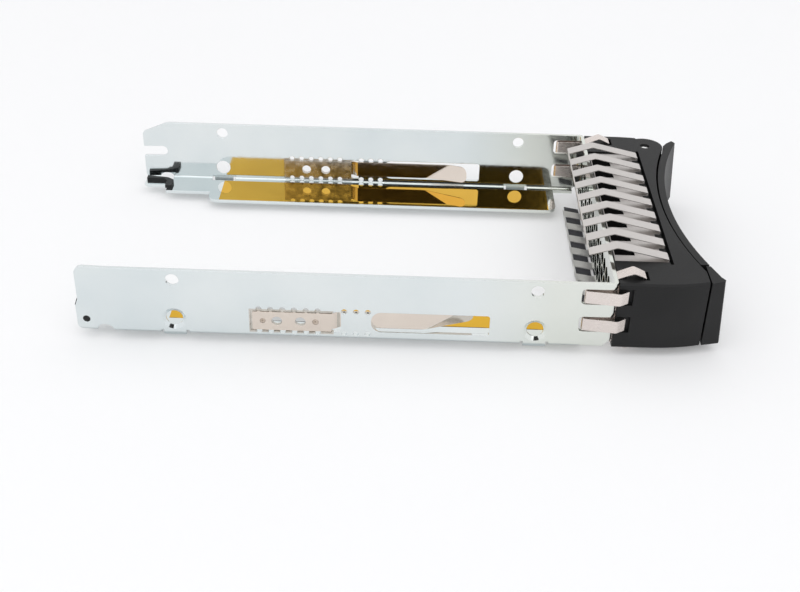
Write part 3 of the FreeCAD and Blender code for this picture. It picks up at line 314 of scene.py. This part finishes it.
def mapped(tree, value, start, end, low, high):
    """Value mapped from start..end to low..high and held there."""
    remap = tree.nodes.new("ShaderNodeMapRange")
    for name, number in (("From Min", start), ("From Max", end), ("To Min", low), ("To Max", high)):
        remap.inputs[name].default_value = number
    tree.links.new(value, remap.inputs["Value"])
    return remap.outputs["Result"]


def axes(tree, kind):
    """X, Y and Z of the texture coordinates of a kind."""
    coordinates = tree.nodes.new("ShaderNodeTexCoord")
    split = tree.nodes.new("ShaderNodeSeparateXYZ")
    tree.links.new(coordinates.outputs[kind], split.inputs["Vector"])
    return tuple(split.outputs)


def object_noise(tree, scale, detail, stretch=EVEN):
    """Noise value over object coordinates, stretched along the axes."""
    coordinates = tree.nodes.new("ShaderNodeTexCoord")
    mapping = tree.nodes.new("ShaderNodeMapping")
    mapping.inputs["Scale"].default_value = stretch
    noise = tree.nodes.new("ShaderNodeTexNoise")
    noise.inputs["Scale"].default_value = scale
    noise.inputs["Detail"].default_value = detail
    tree.links.new(coordinates.outputs["Object"], mapping.inputs["Vector"])
    tree.links.new(mapping.outputs["Vector"], noise.inputs["Vector"])
    return noise.outputs["Fac"]


def colour_between(tree, factor, low, high, start=0.35, end=0.65):
    """Colour ramp between two colours."""
    ramp = tree.nodes.new("ShaderNodeValToRGB")
    ramp.color_ramp.elements[0].position = start
    ramp.color_ramp.elements[0].color = (*low, 1)
    ramp.color_ramp.elements[1].position = end
    ramp.color_ramp.elements[1].color = (*high, 1)
    tree.links.new(factor, ramp.inputs["Fac"])
    return ramp.outputs["Color"]


def value_between(tree, factor, low, high):
    """Value mapped from the usual span of a noise to a range."""
    return mapped(tree, factor, NOISE_LOW, NOISE_HIGH, low, high)


def rounded_normal(tree, radius, factor, strength):
    """Normal with softened edges and a bump that follows a factor."""
    bevel = tree.nodes.new("ShaderNodeBevel")
    bevel.samples = 4
    bevel.inputs["Radius"].default_value = radius
    bump = tree.nodes.new("ShaderNodeBump")
    bump.inputs["Strength"].default_value = strength
    bump.inputs["Distance"].default_value = BUMP_DEPTH
    tree.links.new(factor, bump.inputs["Height"])
    tree.links.new(bevel.outputs["Normal"], bump.inputs["Normal"])
    return bump.outputs["Normal"]


def blended(tree, factor, low, high, kind="RGBA"):
    """Mix of two colours or values by a factor."""
    mix = tree.nodes.new("ShaderNodeMix")
    mix.data_type = kind
    first, second = ("A_Color", "B_Color") if kind == "RGBA" else ("A_Float", "B_Float")
    sockets = {socket.identifier: socket for socket in mix.inputs}
    tree.links.new(factor, sockets["Factor_Float"])
    feed(tree, low, sockets[first])
    feed(tree, high, sockets[second])
    return next(socket for socket in mix.outputs if socket.enabled)


def region(tree, low, high, blur):
    """Value that is 1 inside a box in millimetres and fades outside it, alike on both sides."""
    x, y, z = axes(tree, "Object")
    value = None
    for source, start, end in zip((x, calculated(tree, "ABSOLUTE", y), z), low, high):
        for edge, outer in ((start, start - blur), (end, end + blur)):
            inside = mapped(tree, source, outer * MM, edge * MM, 0.0, 1.0)
            value = inside if value is None else calculated(tree, "MULTIPLY", value, inside)
    return value


def seen_rays(tree):
    """Value that is 1 for what the camera sees directly, in a mirror or through glass."""
    rays = tree.nodes.new("ShaderNodeLightPath")
    value = rays.outputs["Is Camera Ray"]
    for kind in ("Is Glossy Ray", "Is Transmission Ray"):
        value = calculated(tree, "MAXIMUM", value, rays.outputs[kind])
    return value


# Finishes

def metal(name, low, high, rough, edge, clouds, grain, stretch=EVEN, bump=0.06, metallic=1.0):
    """Metal whose tint, sheen and fine grain vary over the surface."""
    material, tree, shader = new_material(name)
    cloud = object_noise(tree, clouds, 3.0)
    fine = object_noise(tree, grain, 4.0, stretch)
    tree.links.new(colour_between(tree, cloud, low, high), shader.inputs["Base Color"])
    tree.links.new(value_between(tree, fine, *rough), shader.inputs["Roughness"])
    tree.links.new(rounded_normal(tree, edge, fine, bump), shader.inputs["Normal"])
    shader.inputs["Metallic"].default_value = metallic
    return material


def zinc_sheet(name, low, high, roughness, edge):
    """Zinc plated sheet, blue-white, yellower in front, rubbed in the seats, with painted shade
    darkening the bottom folds.
    """
    material, tree, shader = new_material(name)
    cloud = object_noise(tree, 40.0, 3.0)
    fine = object_noise(tree, 900.0, 4.0)
    rubbed = object_noise(tree, 620.0, 2.0, (0.9, 1.0, 1.1))
    seat = region(tree, *SEAT_BOX, SEAT_BLUR)
    front = region(tree, *FRONT_BOX, FRONT_BLUR)
    fold_shade = region(tree, *FOLD_SHADE_BOX, FOLD_SHADE_BLUR)
    base = colour_between(tree, cloud, low, high)
    warm = colour_between(tree, cloud, (0.72, 0.75, 0.70), (0.77, 0.79, 0.745))
    worn = colour_between(tree, rubbed, (0.46, 0.43, 0.38), (0.66, 0.63, 0.58), 0.3, 0.7)
    base = blended(tree, front, base, warm)
    base = blended(tree, seat, base, worn)
    # Painted shade: the bottom folds of the rails turn a darker grey-blue
    base = blended(tree, fold_shade, base, (0.44, 0.49, 0.50, 1.0))
    tree.links.new(base, shader.inputs["Base Color"])
    sheen = value_between(tree, fine, roughness - 0.02, roughness + 0.03)
    dull = value_between(tree, rubbed, 0.18, 0.30)
    tree.links.new(blended(tree, seat, sheen, dull, "FLOAT"), shader.inputs["Roughness"])
    tree.links.new(rounded_normal(tree, edge, fine, 0.06), shader.inputs["Normal"])
    shader.inputs["Metallic"].default_value = 1.0
    return material


def plastic(name, low, high, rough, edge, grain):
    """Moulded plastic with a fine spark-eroded texture."""
    material, tree, shader = new_material(name)
    cloud = object_noise(tree, 90.0, 2.0)
    fine = object_noise(tree, grain, 5.0)
    tree.links.new(colour_between(tree, cloud, low, high), shader.inputs["Base Color"])
    tree.links.new(value_between(tree, fine, *rough), shader.inputs["Roughness"])
    tree.links.new(rounded_normal(tree, edge, fine, 0.2), shader.inputs["Normal"])
    shader.inputs["Specular IOR Level"].default_value = 0.31
    return material


def film(name, low, high, bare_window=False):
    """Amber film on bright metal, like a tinted mirror, cut out behind the leaf's seat where asked; the
    bare zinc there is darkened with painted shade.
    """
    material, tree, shader = new_material(name)
    cloud = object_noise(tree, 60.0, 2.0)
    ripple = object_noise(tree, 260.0, 1.0)
    amber = colour_between(tree, cloud, low, high)
    if bare_window:
        # Bare zinc where the film is cut out, darker than the rail's zinc: real bare metal with painted
        # shade from the holes it is seen through
        bare_zinc_shaded = colour_between(tree, ripple, (0.52, 0.53, 0.53), (0.60, 0.61, 0.61), 0.2, 0.8)
        window = region(tree, *BARE_BOX, BARE_BLUR)
        amber = blended(tree, window, amber, bare_zinc_shaded)
    tree.links.new(amber, shader.inputs["Base Color"])
    tree.links.new(rounded_normal(tree, FILM_EDGE, ripple, 0.04), shader.inputs["Normal"])
    shader.inputs["Metallic"].default_value = 1.0
    shader.inputs["Roughness"].default_value = 0.035
    return material


def shade_sheet_finish(name):
    """Matt black with fine pores, the painted shade on a sheet that stands in for shade."""
    material, tree, shader = new_material(name)
    pores = object_noise(tree, 3000.0, 3.0)
    black = colour_between(tree, pores, (0.001, 0.001, 0.001), (0.004, 0.0038, 0.0036))
    tree.links.new(black, shader.inputs["Base Color"])
    tree.links.new(rounded_normal(tree, FILM_EDGE, pores, 0.3), shader.inputs["Normal"])
    shader.inputs["Roughness"].default_value = 0.95
    shader.inputs["Specular IOR Level"].default_value = 0.06
    return material


# Settings

class CADDY_PG_finish(bpy.types.PropertyGroup):
    """Finish of the sheet metal and plastics"""
    steel_roughness: bpy.props.FloatProperty(
        name="Steel Roughness", description="Mean roughness of the zinc plated sheet",
        default=0.08, min=0.0, max=1.0)
    edge_radius: bpy.props.FloatProperty(
        name="Edge Radius", description="Radius of the softened edges",
        default=0.00012, unit="LENGTH", subtype="DISTANCE")
    zinc_dark: bpy.props.FloatVectorProperty(
        name="Zinc Dark", description="Darker tone of the zinc plated sheet",
        default=(0.70, 0.755, 0.765), min=0.0, max=1.0, subtype="COLOR")
    zinc_light: bpy.props.FloatVectorProperty(
        name="Zinc Light", description="Lighter tone of the zinc plated sheet",
        default=(0.77, 0.81, 0.81), min=0.0, max=1.0, subtype="COLOR")
    film_dark: bpy.props.FloatVectorProperty(
        name="Film Dark", description="Darker tone of the amber film",
        default=(0.66, 0.38, 0.030), min=0.0, max=1.0, subtype="COLOR")
    film_light: bpy.props.FloatVectorProperty(
        name="Film Light", description="Lighter tone of the amber film",
        default=(0.74, 0.44, 0.040), min=0.0, max=1.0, subtype="COLOR")
    bezel_dark: bpy.props.FloatVectorProperty(
        name="Bezel Dark", description="Darker tone of the bezel's plastic",
        default=(0.0065, 0.0065, 0.0068), min=0.0, max=1.0, subtype="COLOR")
    bezel_light: bpy.props.FloatVectorProperty(
        name="Bezel Light", description="Lighter tone of the bezel's plastic",
        default=(0.0095, 0.0095, 0.0098), min=0.0, max=1.0, subtype="COLOR")


class CADDY_PG_strip(bpy.types.PropertyGroup):
    """Spring-finger gasket strips"""
    fingers: bpy.props.IntProperty(
        name="Fingers", description="Number of spring fingers of a strip", default=9, min=2)
    pitch: bpy.props.FloatProperty(
        name="Pitch", description="Distance between two fingers",
        default=0.00609, unit="LENGTH", subtype="DISTANCE")
    width: bpy.props.FloatProperty(
        name="Width", description="Width of a finger", default=0.0030, unit="LENGTH", subtype="DISTANCE")
    unevenness: bpy.props.FloatProperty(
        name="Unevenness", description="How far single fingers stand off the common height",
        default=0.00005, unit="LENGTH", subtype="DISTANCE")
    seed: bpy.props.IntProperty(name="Seed", description="Seed of the unevenness", default=4)


class CADDY_PG_stage(bpy.types.PropertyGroup):
    """Studio round the caddy"""
    key_power: bpy.props.FloatProperty(
        name="Key Power", description="Power of the overhead light", default=2.8, min=0.0, unit="POWER")
    ambient: bpy.props.FloatProperty(
        name="Ambient", description="Strength of the room light overhead", default=0.955, min=0.0)
    horizon: bpy.props.FloatProperty(
        name="Horizon", description="Share of the room light that is left at the horizon",
        default=0.22, min=0.0, max=1.0)
    whiteness: bpy.props.FloatProperty(
        name="Whiteness", description="How far the floor's tone is lifted to white",
        default=0.2, min=0.0, max=1.0)


# Operators

class CADDY_OT_finishes(bpy.types.Operator):
    """Give every CAD piece its finish"""
    bl_idname = "caddy.finishes"
    bl_label = "Finishes"

    def execute(self, context):
        settings = context.scene.caddy_finish
        edge = settings.edge_radius
        amber = (settings.film_dark, settings.film_light)
        looks = {
            "zinc_steel": zinc_sheet(
                "zinc_steel", settings.zinc_dark, settings.zinc_light, settings.steel_roughness, edge),
            "spring_steel": metal(
                "spring_steel", (0.71, 0.63, 0.56), (0.755, 0.675, 0.60), (0.08, 0.14), edge / 2,
                clouds=120.0, grain=1500.0, stretch=(0.2, 1.0, 1.0)),
            "gasket_steel": metal(
                "gasket_steel", (0.73, 0.66, 0.625), (0.78, 0.71, 0.67), (0.24, 0.30), edge / 2,
                clouds=150.0, grain=1800.0, stretch=GRAIN_ALONG_X, bump=0.02),
            "amber_film": film("amber_film", *amber),
            "black_plastic": plastic(
                "black_plastic", (0.008, 0.008, 0.008), (0.013, 0.013, 0.013), (0.30, 0.42), edge,
                grain=2500.0),
            "bezel_plastic": plastic(
                "bezel_plastic", settings.bezel_dark, settings.bezel_light, (0.42, 0.54), edge * 1.5,
                grain=5200.0),
            "pin_steel": metal(
                "pin_steel", (0.86, 0.86, 0.86), (0.92, 0.92, 0.92), (0.12, 0.2), edge,
                clouds=200.0, grain=900.0),
        }
        metal("strip_steel", (0.62, 0.59, 0.57), (0.655, 0.625, 0.605), (0.36, 0.42), edge / 2,
              clouds=150.0, grain=1800.0, stretch=GRAIN_ALONG_Y, bump=0.02)
        # The same steel as the top strip, made paler and partly diffuse: painted light that brightens
        # the lower strip in the shade under the top strip
        metal("lower_strip_steel_lit", (0.84, 0.83, 0.81), (0.90, 0.89, 0.87), (0.40, 0.46), edge / 2,
              clouds=150.0, grain=1800.0, stretch=GRAIN_ALONG_Y, bump=0.02, metallic=0.6)
        metal("weld_steel", (0.48, 0.40, 0.33), (0.62, 0.53, 0.45), (0.22, 0.32), edge / 2,
              clouds=900.0, grain=1800.0)
        shade_sheet_finish("painted_shade_black")
        slots = {part["node"]: part["material_slot"] for part in frame["record"]["subparts"]}
        for node, obj in frame["nodes"].items():
            obj.data.materials.clear()
            obj.data.materials.append(looks[slots[node]])
        near_film = frame["nodes"]["left_insulating_film"].data.materials
        near_film[0] = film("amber_film_near", *amber, bare_window=True)
        return {"FINISHED"}


def strip_tree(fingers, pitch, unevenness, seed):
    """Geometry Nodes tree that sets a row of fingers along Y beside the fixed part of a strip."""
    tree = bpy.data.node_groups.new("finger_row", "GeometryNodeTree")
    face = tree.interface
    face.new_socket("Geometry", in_out="INPUT", socket_type="NodeSocketGeometry")
    sockets = {}
    inputs = (
        ("Finger", "NodeSocketObject", None), ("Material", "NodeSocketMaterial", None),
        ("Count", "NodeSocketInt", fingers), ("Pitch", "NodeSocketFloat", pitch),
        ("Unevenness", "NodeSocketFloat", unevenness), ("Seed", "NodeSocketInt", seed))
    for name, kind, value in inputs:
        socket = face.new_socket(name, in_out="INPUT", socket_type=kind)
        if value is not None:
            socket.default_value = value
        sockets[name] = socket.identifier
    face.new_socket("Geometry", in_out="OUTPUT", socket_type="NodeSocketGeometry")
    nodes, links = tree.nodes, tree.links
    entry, leave = nodes.new("NodeGroupInput"), nodes.new("NodeGroupOutput")
    row = nodes.new("GeometryNodeMeshLine")
    offset = nodes.new("ShaderNodeCombineXYZ")
    links.new(entry.outputs["Pitch"], offset.inputs["Y"])
    links.new(entry.outputs["Count"], row.inputs["Count"])
    links.new(offset.outputs["Vector"], row.inputs["Offset"])
    steps = calculated(tree, "MULTIPLY_ADD", entry.outputs["Count"], -0.5, 0.5)
    start = nodes.new("ShaderNodeCombineXYZ")
    links.new(calculated(tree, "MULTIPLY", steps, entry.outputs["Pitch"]), start.inputs["Y"])
    links.new(start.outputs["Vector"], row.inputs["Start Location"])
    source = nodes.new("GeometryNodeObjectInfo")
    links.new(entry.outputs["Finger"], source.inputs["Object"])
    spread = nodes.new("FunctionNodeRandomValue")
    spread.data_type = "FLOAT"
    links.new(entry.outputs["Seed"], spread.inputs["Seed"])
    links.new(calculated(tree, "MULTIPLY", entry.outputs["Unevenness"], -1.0), spread.inputs[2])
    links.new(entry.outputs["Unevenness"], spread.inputs[3])
    shift = nodes.new("ShaderNodeCombineXYZ")
    links.new(spread.outputs[1], shift.inputs["Z"])
    move = nodes.new("GeometryNodeSetPosition")
    links.new(row.outputs["Mesh"], move.inputs["Geometry"])
    links.new(shift.outputs["Vector"], move.inputs["Offset"])
    place = nodes.new("GeometryNodeInstanceOnPoints")
    links.new(move.outputs["Geometry"], place.inputs["Points"])
    links.new(source.outputs["Geometry"], place.inputs["Instance"])
    join = nodes.new("GeometryNodeJoinGeometry")
    links.new(entry.outputs["Geometry"], join.inputs["Geometry"])
    links.new(place.outputs["Instances"], join.inputs["Geometry"])
    realize = nodes.new("GeometryNodeRealizeInstances")
    links.new(join.outputs["Geometry"], realize.inputs["Geometry"])
    paint = nodes.new("GeometryNodeSetMaterial")
    links.new(realize.outputs["Geometry"], paint.inputs["Geometry"])
    links.new(entry.outputs["Material"], paint.inputs["Material"])
    links.new(paint.outputs["Geometry"], leave.inputs["Geometry"])
    return tree, sockets


def build_strip(context, node, rise, shift, turned_over):
    """Strip of spring fingers that stands for a CAD strip, with its crest a rise above the rails."""
    settings = context.scene.caddy_strip
    width = settings.width / MM
    half_length = (settings.fingers - 1) / 2 * settings.pitch / MM + width / 2

    def place(x, z, across):
        return Vector((x + shift, across, RAIL_HEIGHT - z if turned_over else z))

    def is_window(column, row):
        return column == 1 and row % 2 == 1

    crest = (CREST_X, RAIL_HEIGHT + rise)
    rim_corner, rim_end = (RIM_X, RIM_TOP), (RIM_X, RIM_TOP - RIM_DROP)
    path = rounded_path(
        [(FOOT_X, PLATE_HEIGHT), (FRONT_X, PLATE_HEIGHT), (FRONT_X, PLATE_HEIGHT + FRONT_RISE), crest,
         rim_corner, rim_end],
        (FRONT_RADIUS, FRONT_RADIUS, CREST_RADIUS, RIM_RADIUS))
    finger = add_object(
        "finger_source", sheet_mesh("finger", path, STRIP_THICKNESS, -width / 2, width / 2, place))
    soften(finger.data)
    slope = (Vector(crest) - Vector(rim_corner)).normalized()
    rim_start = Vector(rim_corner) + slope * RIM_TAB
    rim_path = rounded_path([rim_start, rim_corner, rim_end], (RIM_RADIUS,))
    rim = sheet_mesh("rim", rim_path, STRIP_THICKNESS, -half_length, half_length, place)
    edge = half_length + PLATE_MARGIN
    y_lines = [-edge]
    for index in range(settings.fingers - 1):
        middle = (index - settings.fingers / 2 + 1) * settings.pitch / MM
        y_lines += [middle - WINDOW_HALF, middle + WINDOW_HALF]
    y_lines.append(edge)
    height = RAIL_HEIGHT - PLATE_HEIGHT if turned_over else PLATE_HEIGHT
    plate = plate_mesh("plate", [x + shift for x in PLATE_X_LINES], y_lines, is_window,
                       height - STRIP_THICKNESS / 2, height + STRIP_THICKNESS / 2)
    strip = add_object(node + "_strip", rim)
    extra = add_object("plate_source", plate)
    tree, sockets = strip_tree(settings.fingers, settings.pitch, settings.unevenness, settings.seed)
    join_meshes(strip, extra)
    soften(strip.data)
    modifier = strip.modifiers.new("fingers", "NODES")
    modifier.node_group = tree
    modifier[sockets["Finger"]] = finger
    steel = "lower_strip_steel_lit" if turned_over else "strip_steel"
    modifier[sockets["Material"]] = bpy.data.materials[steel]
    modifier[sockets["Count"]] = settings.fingers
    modifier[sockets["Pitch"]] = settings.pitch
    modifier[sockets["Unevenness"]] = settings.unevenness
    modifier[sockets["Seed"]] = settings.seed
    context.view_layer.update()
    graph = context.evaluated_depsgraph_get()
    final = bpy.data.meshes.new_from_object(strip.evaluated_get(graph), depsgraph=graph)
    strip.modifiers.clear()
    strip.data = final
    bpy.data.objects.remove(finger)
    if not final.polygons:
        raise RuntimeError("the strip " + node + " came out empty")
    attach(strip, "caddy")
    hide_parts(node)


class CADDY_OT_gasket_strips(bpy.types.Operator):
    """Build the two strips of spring fingers above and below the bezel"""
    bl_idname = "caddy.gasket_strips"
    bl_label = "Gasket Strips"

    def execute(self, context):
        build_strip(context, "emi_top_strip", rise=2.7, shift=0.0, turned_over=False)
        build_strip(context, "emi_bottom_strip", rise=1.8, shift=0.6, turned_over=True)
        return {"FINISHED"}


class CADDY_OT_painted_shade_sheets(bpy.types.Operator):
    """Build the dark sheets of painted shade: a black sheet under the windows of the top strip and a
    black lip behind the bottom fingers
    """
    bl_idname = "caddy.gasket_backing"
    bl_label = "Painted Shade Sheets"

    def execute(self, context):
        settings = context.scene.caddy_strip
        half = (settings.fingers - 1) / 2 * settings.pitch / MM
        low, high = (SHADE_SHEET_X[0], -half, SHADE_SHEET_Z[0]), (SHADE_SHEET_X[1], half, SHADE_SHEET_Z[1])
        # Painted shade: a black sheet that stands in for the shade of a deep opening under the top
        # strip's windows
        shade_sheet = add_object("gasket_foam", slab_mesh("gasket_foam", low, high))
        shade_sheet.data.materials.append(bpy.data.materials["painted_shade_black"])
        # Black lip under the bottom fingers: a dark sheet that stands in for the shade seen between them
        # (painted shade), and it also casts real shadow
        reach = half + SHADE_LIP_OVERHANG
        shade_lip = add_object("bottom_lip", sheet_mesh(
            "bottom_lip", [Vector(point) for point in SHADE_LIP_PATH], SHADE_LIP_THICKNESS, -reach, reach,
            lambda x, z, across: Vector((x, across, z))))
        shade_lip.data.materials.append(bpy.data.materials["bezel_plastic"])
        for piece, slot in ((shade_sheet, "black_plastic"), (shade_lip, "bezel_plastic")):
            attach(piece, "caddy")
        return {"FINISHED"}


class CADDY_OT_weld_marks(bpy.types.Operator):
    """Build the spot-weld marks on the plates of the leaf springs"""
    bl_idname = "caddy.weld_marks"
    bl_label = "Weld Marks"

    def execute(self, context):
        for side in ("left", "right"):
            marks, extra = (self.mark(side, index) for index in (0, 1))
            join_meshes(marks, extra)
            if side == "right":
                marks.data.transform(Matrix.Scale(-1.0, 4, (0, 1, 0)))
                marks.data.flip_normals()
            soften(marks.data, 60)
            marks.data.materials.append(bpy.data.materials["weld_steel"])
            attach(marks, "caddy")
        return {"FINISHED"}

    def mark(self, side, index):
        """One mark at its place on the left leaf's plate."""
        place, radius, height = WELD_MARKS[index]
        name = side + ("_weld_marks", "_weld_extra")[index]
        obj = add_object(name, ring_mesh(side + "_weld", radius, height, WELD_SIDES, WELD_RINGS))
        obj.data.transform(Matrix.Translation(Vector(place) * MM))
        return obj


def area_light(name, place, target, size, power):
    """Soft white rectangular light that points at a target."""
    data = bpy.data.lights.new(name, "AREA")
    data.shape = "RECTANGLE"
    data.size, data.size_y = size
    data.energy = power
    light = bpy.data.objects.new(name, data)
    bpy.context.scene.collection.objects.link(light)
    direction = Vector(target) - Vector(place)
    turn = direction.to_track_quat("-Z", "Y").to_matrix().to_4x4()
    light.matrix_world = Matrix.Translation(Vector(place)) @ turn


def camera_axes():
    """Right, up and forward directions of the camera."""
    forward = Vector(CAMERA_FORWARD).normalized()
    right = Vector(CAMERA_RIGHT).normalized()
    return right, right.cross(forward), forward


class CADDY_OT_stage(bpy.types.Operator):
    """Build the studio: floor, backdrop, light, dark card and camera"""
    bl_idname = "caddy.stage"
    bl_label = "Stage"

    def execute(self, context):
        settings = context.scene.caddy_stage
        scene = context.scene
        floor = add_object("floor", self.sweep_mesh())
        material, tree, shader = new_material("floor")
        tint = object_noise(tree, 3.0, 1.0)
        pale = colour_between(tree, tint, (0.962, 0.962, 0.966), (0.972, 0.972, 0.976))
        tree.links.new(pale, shader.inputs["Base Color"])
        shader.inputs["Roughness"].default_value = 0.9
        shader.inputs["Specular IOR Level"].default_value = 0.1
        self.whiten(tree, shader, settings.whiteness)
        floor.data.materials.append(material)
        area_light("key", KEY_PLACE, KEY_TARGET, KEY_SIZE, settings.key_power)
        self.dark_card()
        world = bpy.data.worlds.new("studio")
        world.use_nodes = True
        self.shade_room(world.node_tree, settings.ambient, settings.horizon)
        scene.world = world
        scene.view_settings.view_transform = "Standard"
        self.add_camera(scene)
        return {"FINISHED"}

    def shade_room(self, tree, strength, horizon):
        """Room light that is strongest overhead, weak at the horizon and white where it is seen."""
        background = tree.nodes["Background"]
        background.inputs["Color"].default_value = ROOM_COLOUR
        height = axes(tree, "Generated")[2]
        light = mapped(tree, height, 0.0, ROOM_FULL, strength * horizon, strength)
        shown = blended(tree, seen_rays(tree), light, 1.0, "FLOAT")
        tree.links.new(shown, background.inputs["Strength"])

    def whiten(self, tree, shader, share):
        """Lift the floor's tone towards white for the camera and in mirror-like surfaces."""
        height = axes(tree, "Object")[2]
        rise = mapped(tree, height, BACKDROP_LOW, BACKDROP_HIGH, share, BACKDROP_WHITE)
        amount = calculated(tree, "MULTIPLY", seen_rays(tree), rise)
        white = tree.nodes.new("ShaderNodeEmission")
        white.inputs["Color"].default_value = (1.0, 1.0, 1.0, 1.0)
        white.inputs["Strength"].default_value = 1.0
        mixed = tree.nodes.new("ShaderNodeMixShader")
        tree.links.new(amount, mixed.inputs["Fac"])
        tree.links.new(shader.outputs["BSDF"], mixed.inputs[1])
        tree.links.new(white.outputs["Emission"], mixed.inputs[2])
        output = next(node for node in tree.nodes if node.type == "OUTPUT_MATERIAL")
        tree.links.new(mixed.outputs["Shader"], output.inputs["Surface"])

    def dark_card(self):
        """Dark card at the camera's place that shows only in the mirror-like surfaces."""
        right, up, forward = camera_axes()
        centre = Vector(CAMERA_PLACE) * MM - forward * CARD_SETBACK
        (left_x, right_x), (low_z, high_z) = CARD_X, CARD_Z
        outline = ((left_x, low_z), (right_x, low_z), (right_x, high_z), (left_x, high_z))
        corners = [centre + right * x + up * z for x, z in outline]
        mesh = bpy.data.meshes.new("dark_card")
        mesh.from_pydata(corners, [], [(0, 1, 2, 3)])
        mesh.update()
        card = add_object("dark_card", mesh)
        material, tree, shader = new_material("dark_card")
        tint = object_noise(tree, 20.0, 1.0)
        dark = colour_between(tree, tint, (0.012, 0.011, 0.010), (0.02, 0.018, 0.016))
        tree.links.new(dark, shader.inputs["Base Color"])
        shader.inputs["Roughness"].default_value = 0.8
        mesh.materials.append(material)
        card.visible_camera = False
        card.visible_diffuse = False
        card.visible_shadow = False
        return card

    def sweep_mesh(self):
        """Floor that sweeps up into a backdrop far behind the caddy."""
        path = rounded_path(FLOOR_PATH, (FLOOR_SWEEP,), FLOOR_STEP)
        vertices = [(across, point.x, point.y) for across in FLOOR_ACROSS for point in path]
        count = len(path)
        faces = [(index, index + count, index + count + 1, index + 1) for index in range(count - 1)]
        mesh = bpy.data.meshes.new("floor")
        mesh.from_pydata(vertices, [], faces)
        mesh.update()
        mesh.shade_smooth()
        return mesh

    def add_camera(self, scene):
        """Camera at the photographed angle."""
        data = bpy.data.cameras.new("camera")
        data.sensor_fit = "HORIZONTAL"
        data.sensor_width = SENSOR_WIDTH
        data.lens = CAMERA_LENS
        data.clip_start = 0.01
        data.dof.use_dof = False
        camera = bpy.data.objects.new("camera", data)
        scene.collection.objects.link(camera)
        right, up, forward = camera_axes()
        turn = Matrix((right, up, -forward)).transposed().to_4x4()
        camera.matrix_world = Matrix.Translation(Vector(CAMERA_PLACE) * MM) @ turn
        scene.camera = camera


class CADDY_PT_panel(bpy.types.Panel):
    """Panel of the caddy's looks"""
    bl_label = "Drive Caddy"
    bl_idname = "CADDY_PT_panel"
    bl_space_type = "VIEW_3D"
    bl_region_type = "UI"
    bl_category = "Caddy"

    def draw(self, context):
        layout = self.layout
        for group in (context.scene.caddy_finish, context.scene.caddy_strip, context.scene.caddy_stage):
            box = layout.box()
            for name in group.__annotations__:
                box.prop(group, name)
        for operator in OPERATORS:
            layout.operator(operator.bl_idname)


GROUPS = (CADDY_PG_finish, CADDY_PG_strip, CADDY_PG_stage)
OPERATORS = (CADDY_OT_finishes, CADDY_OT_gasket_strips, CADDY_OT_painted_shade_sheets, CADDY_OT_weld_marks,
             CADDY_OT_stage)


def register():
    """Add the classes and the settings."""
    for cls in GROUPS + OPERATORS + (CADDY_PT_panel,):
        bpy.utils.register_class(cls)
    bpy.types.Scene.caddy_finish = bpy.props.PointerProperty(type=CADDY_PG_finish)
    bpy.types.Scene.caddy_strip = bpy.props.PointerProperty(type=CADDY_PG_strip)
    bpy.types.Scene.caddy_stage = bpy.props.PointerProperty(type=CADDY_PG_stage)


def unregister():
    """Take the settings and the classes away."""
    del bpy.types.Scene.caddy_stage
    del bpy.types.Scene.caddy_strip
    del bpy.types.Scene.caddy_finish
    for cls in reversed(GROUPS + OPERATORS + (CADDY_PT_panel,)):
        bpy.utils.unregister_class(cls)


def main():
    """Run every operator in order."""
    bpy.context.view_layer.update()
    register()
    bpy.ops.caddy.finishes()
    bpy.ops.caddy.gasket_strips()
    bpy.ops.caddy.gasket_backing()
    bpy.ops.caddy.weld_marks()
    bpy.ops.caddy.stage()


if __name__ == "__main__":
    main()
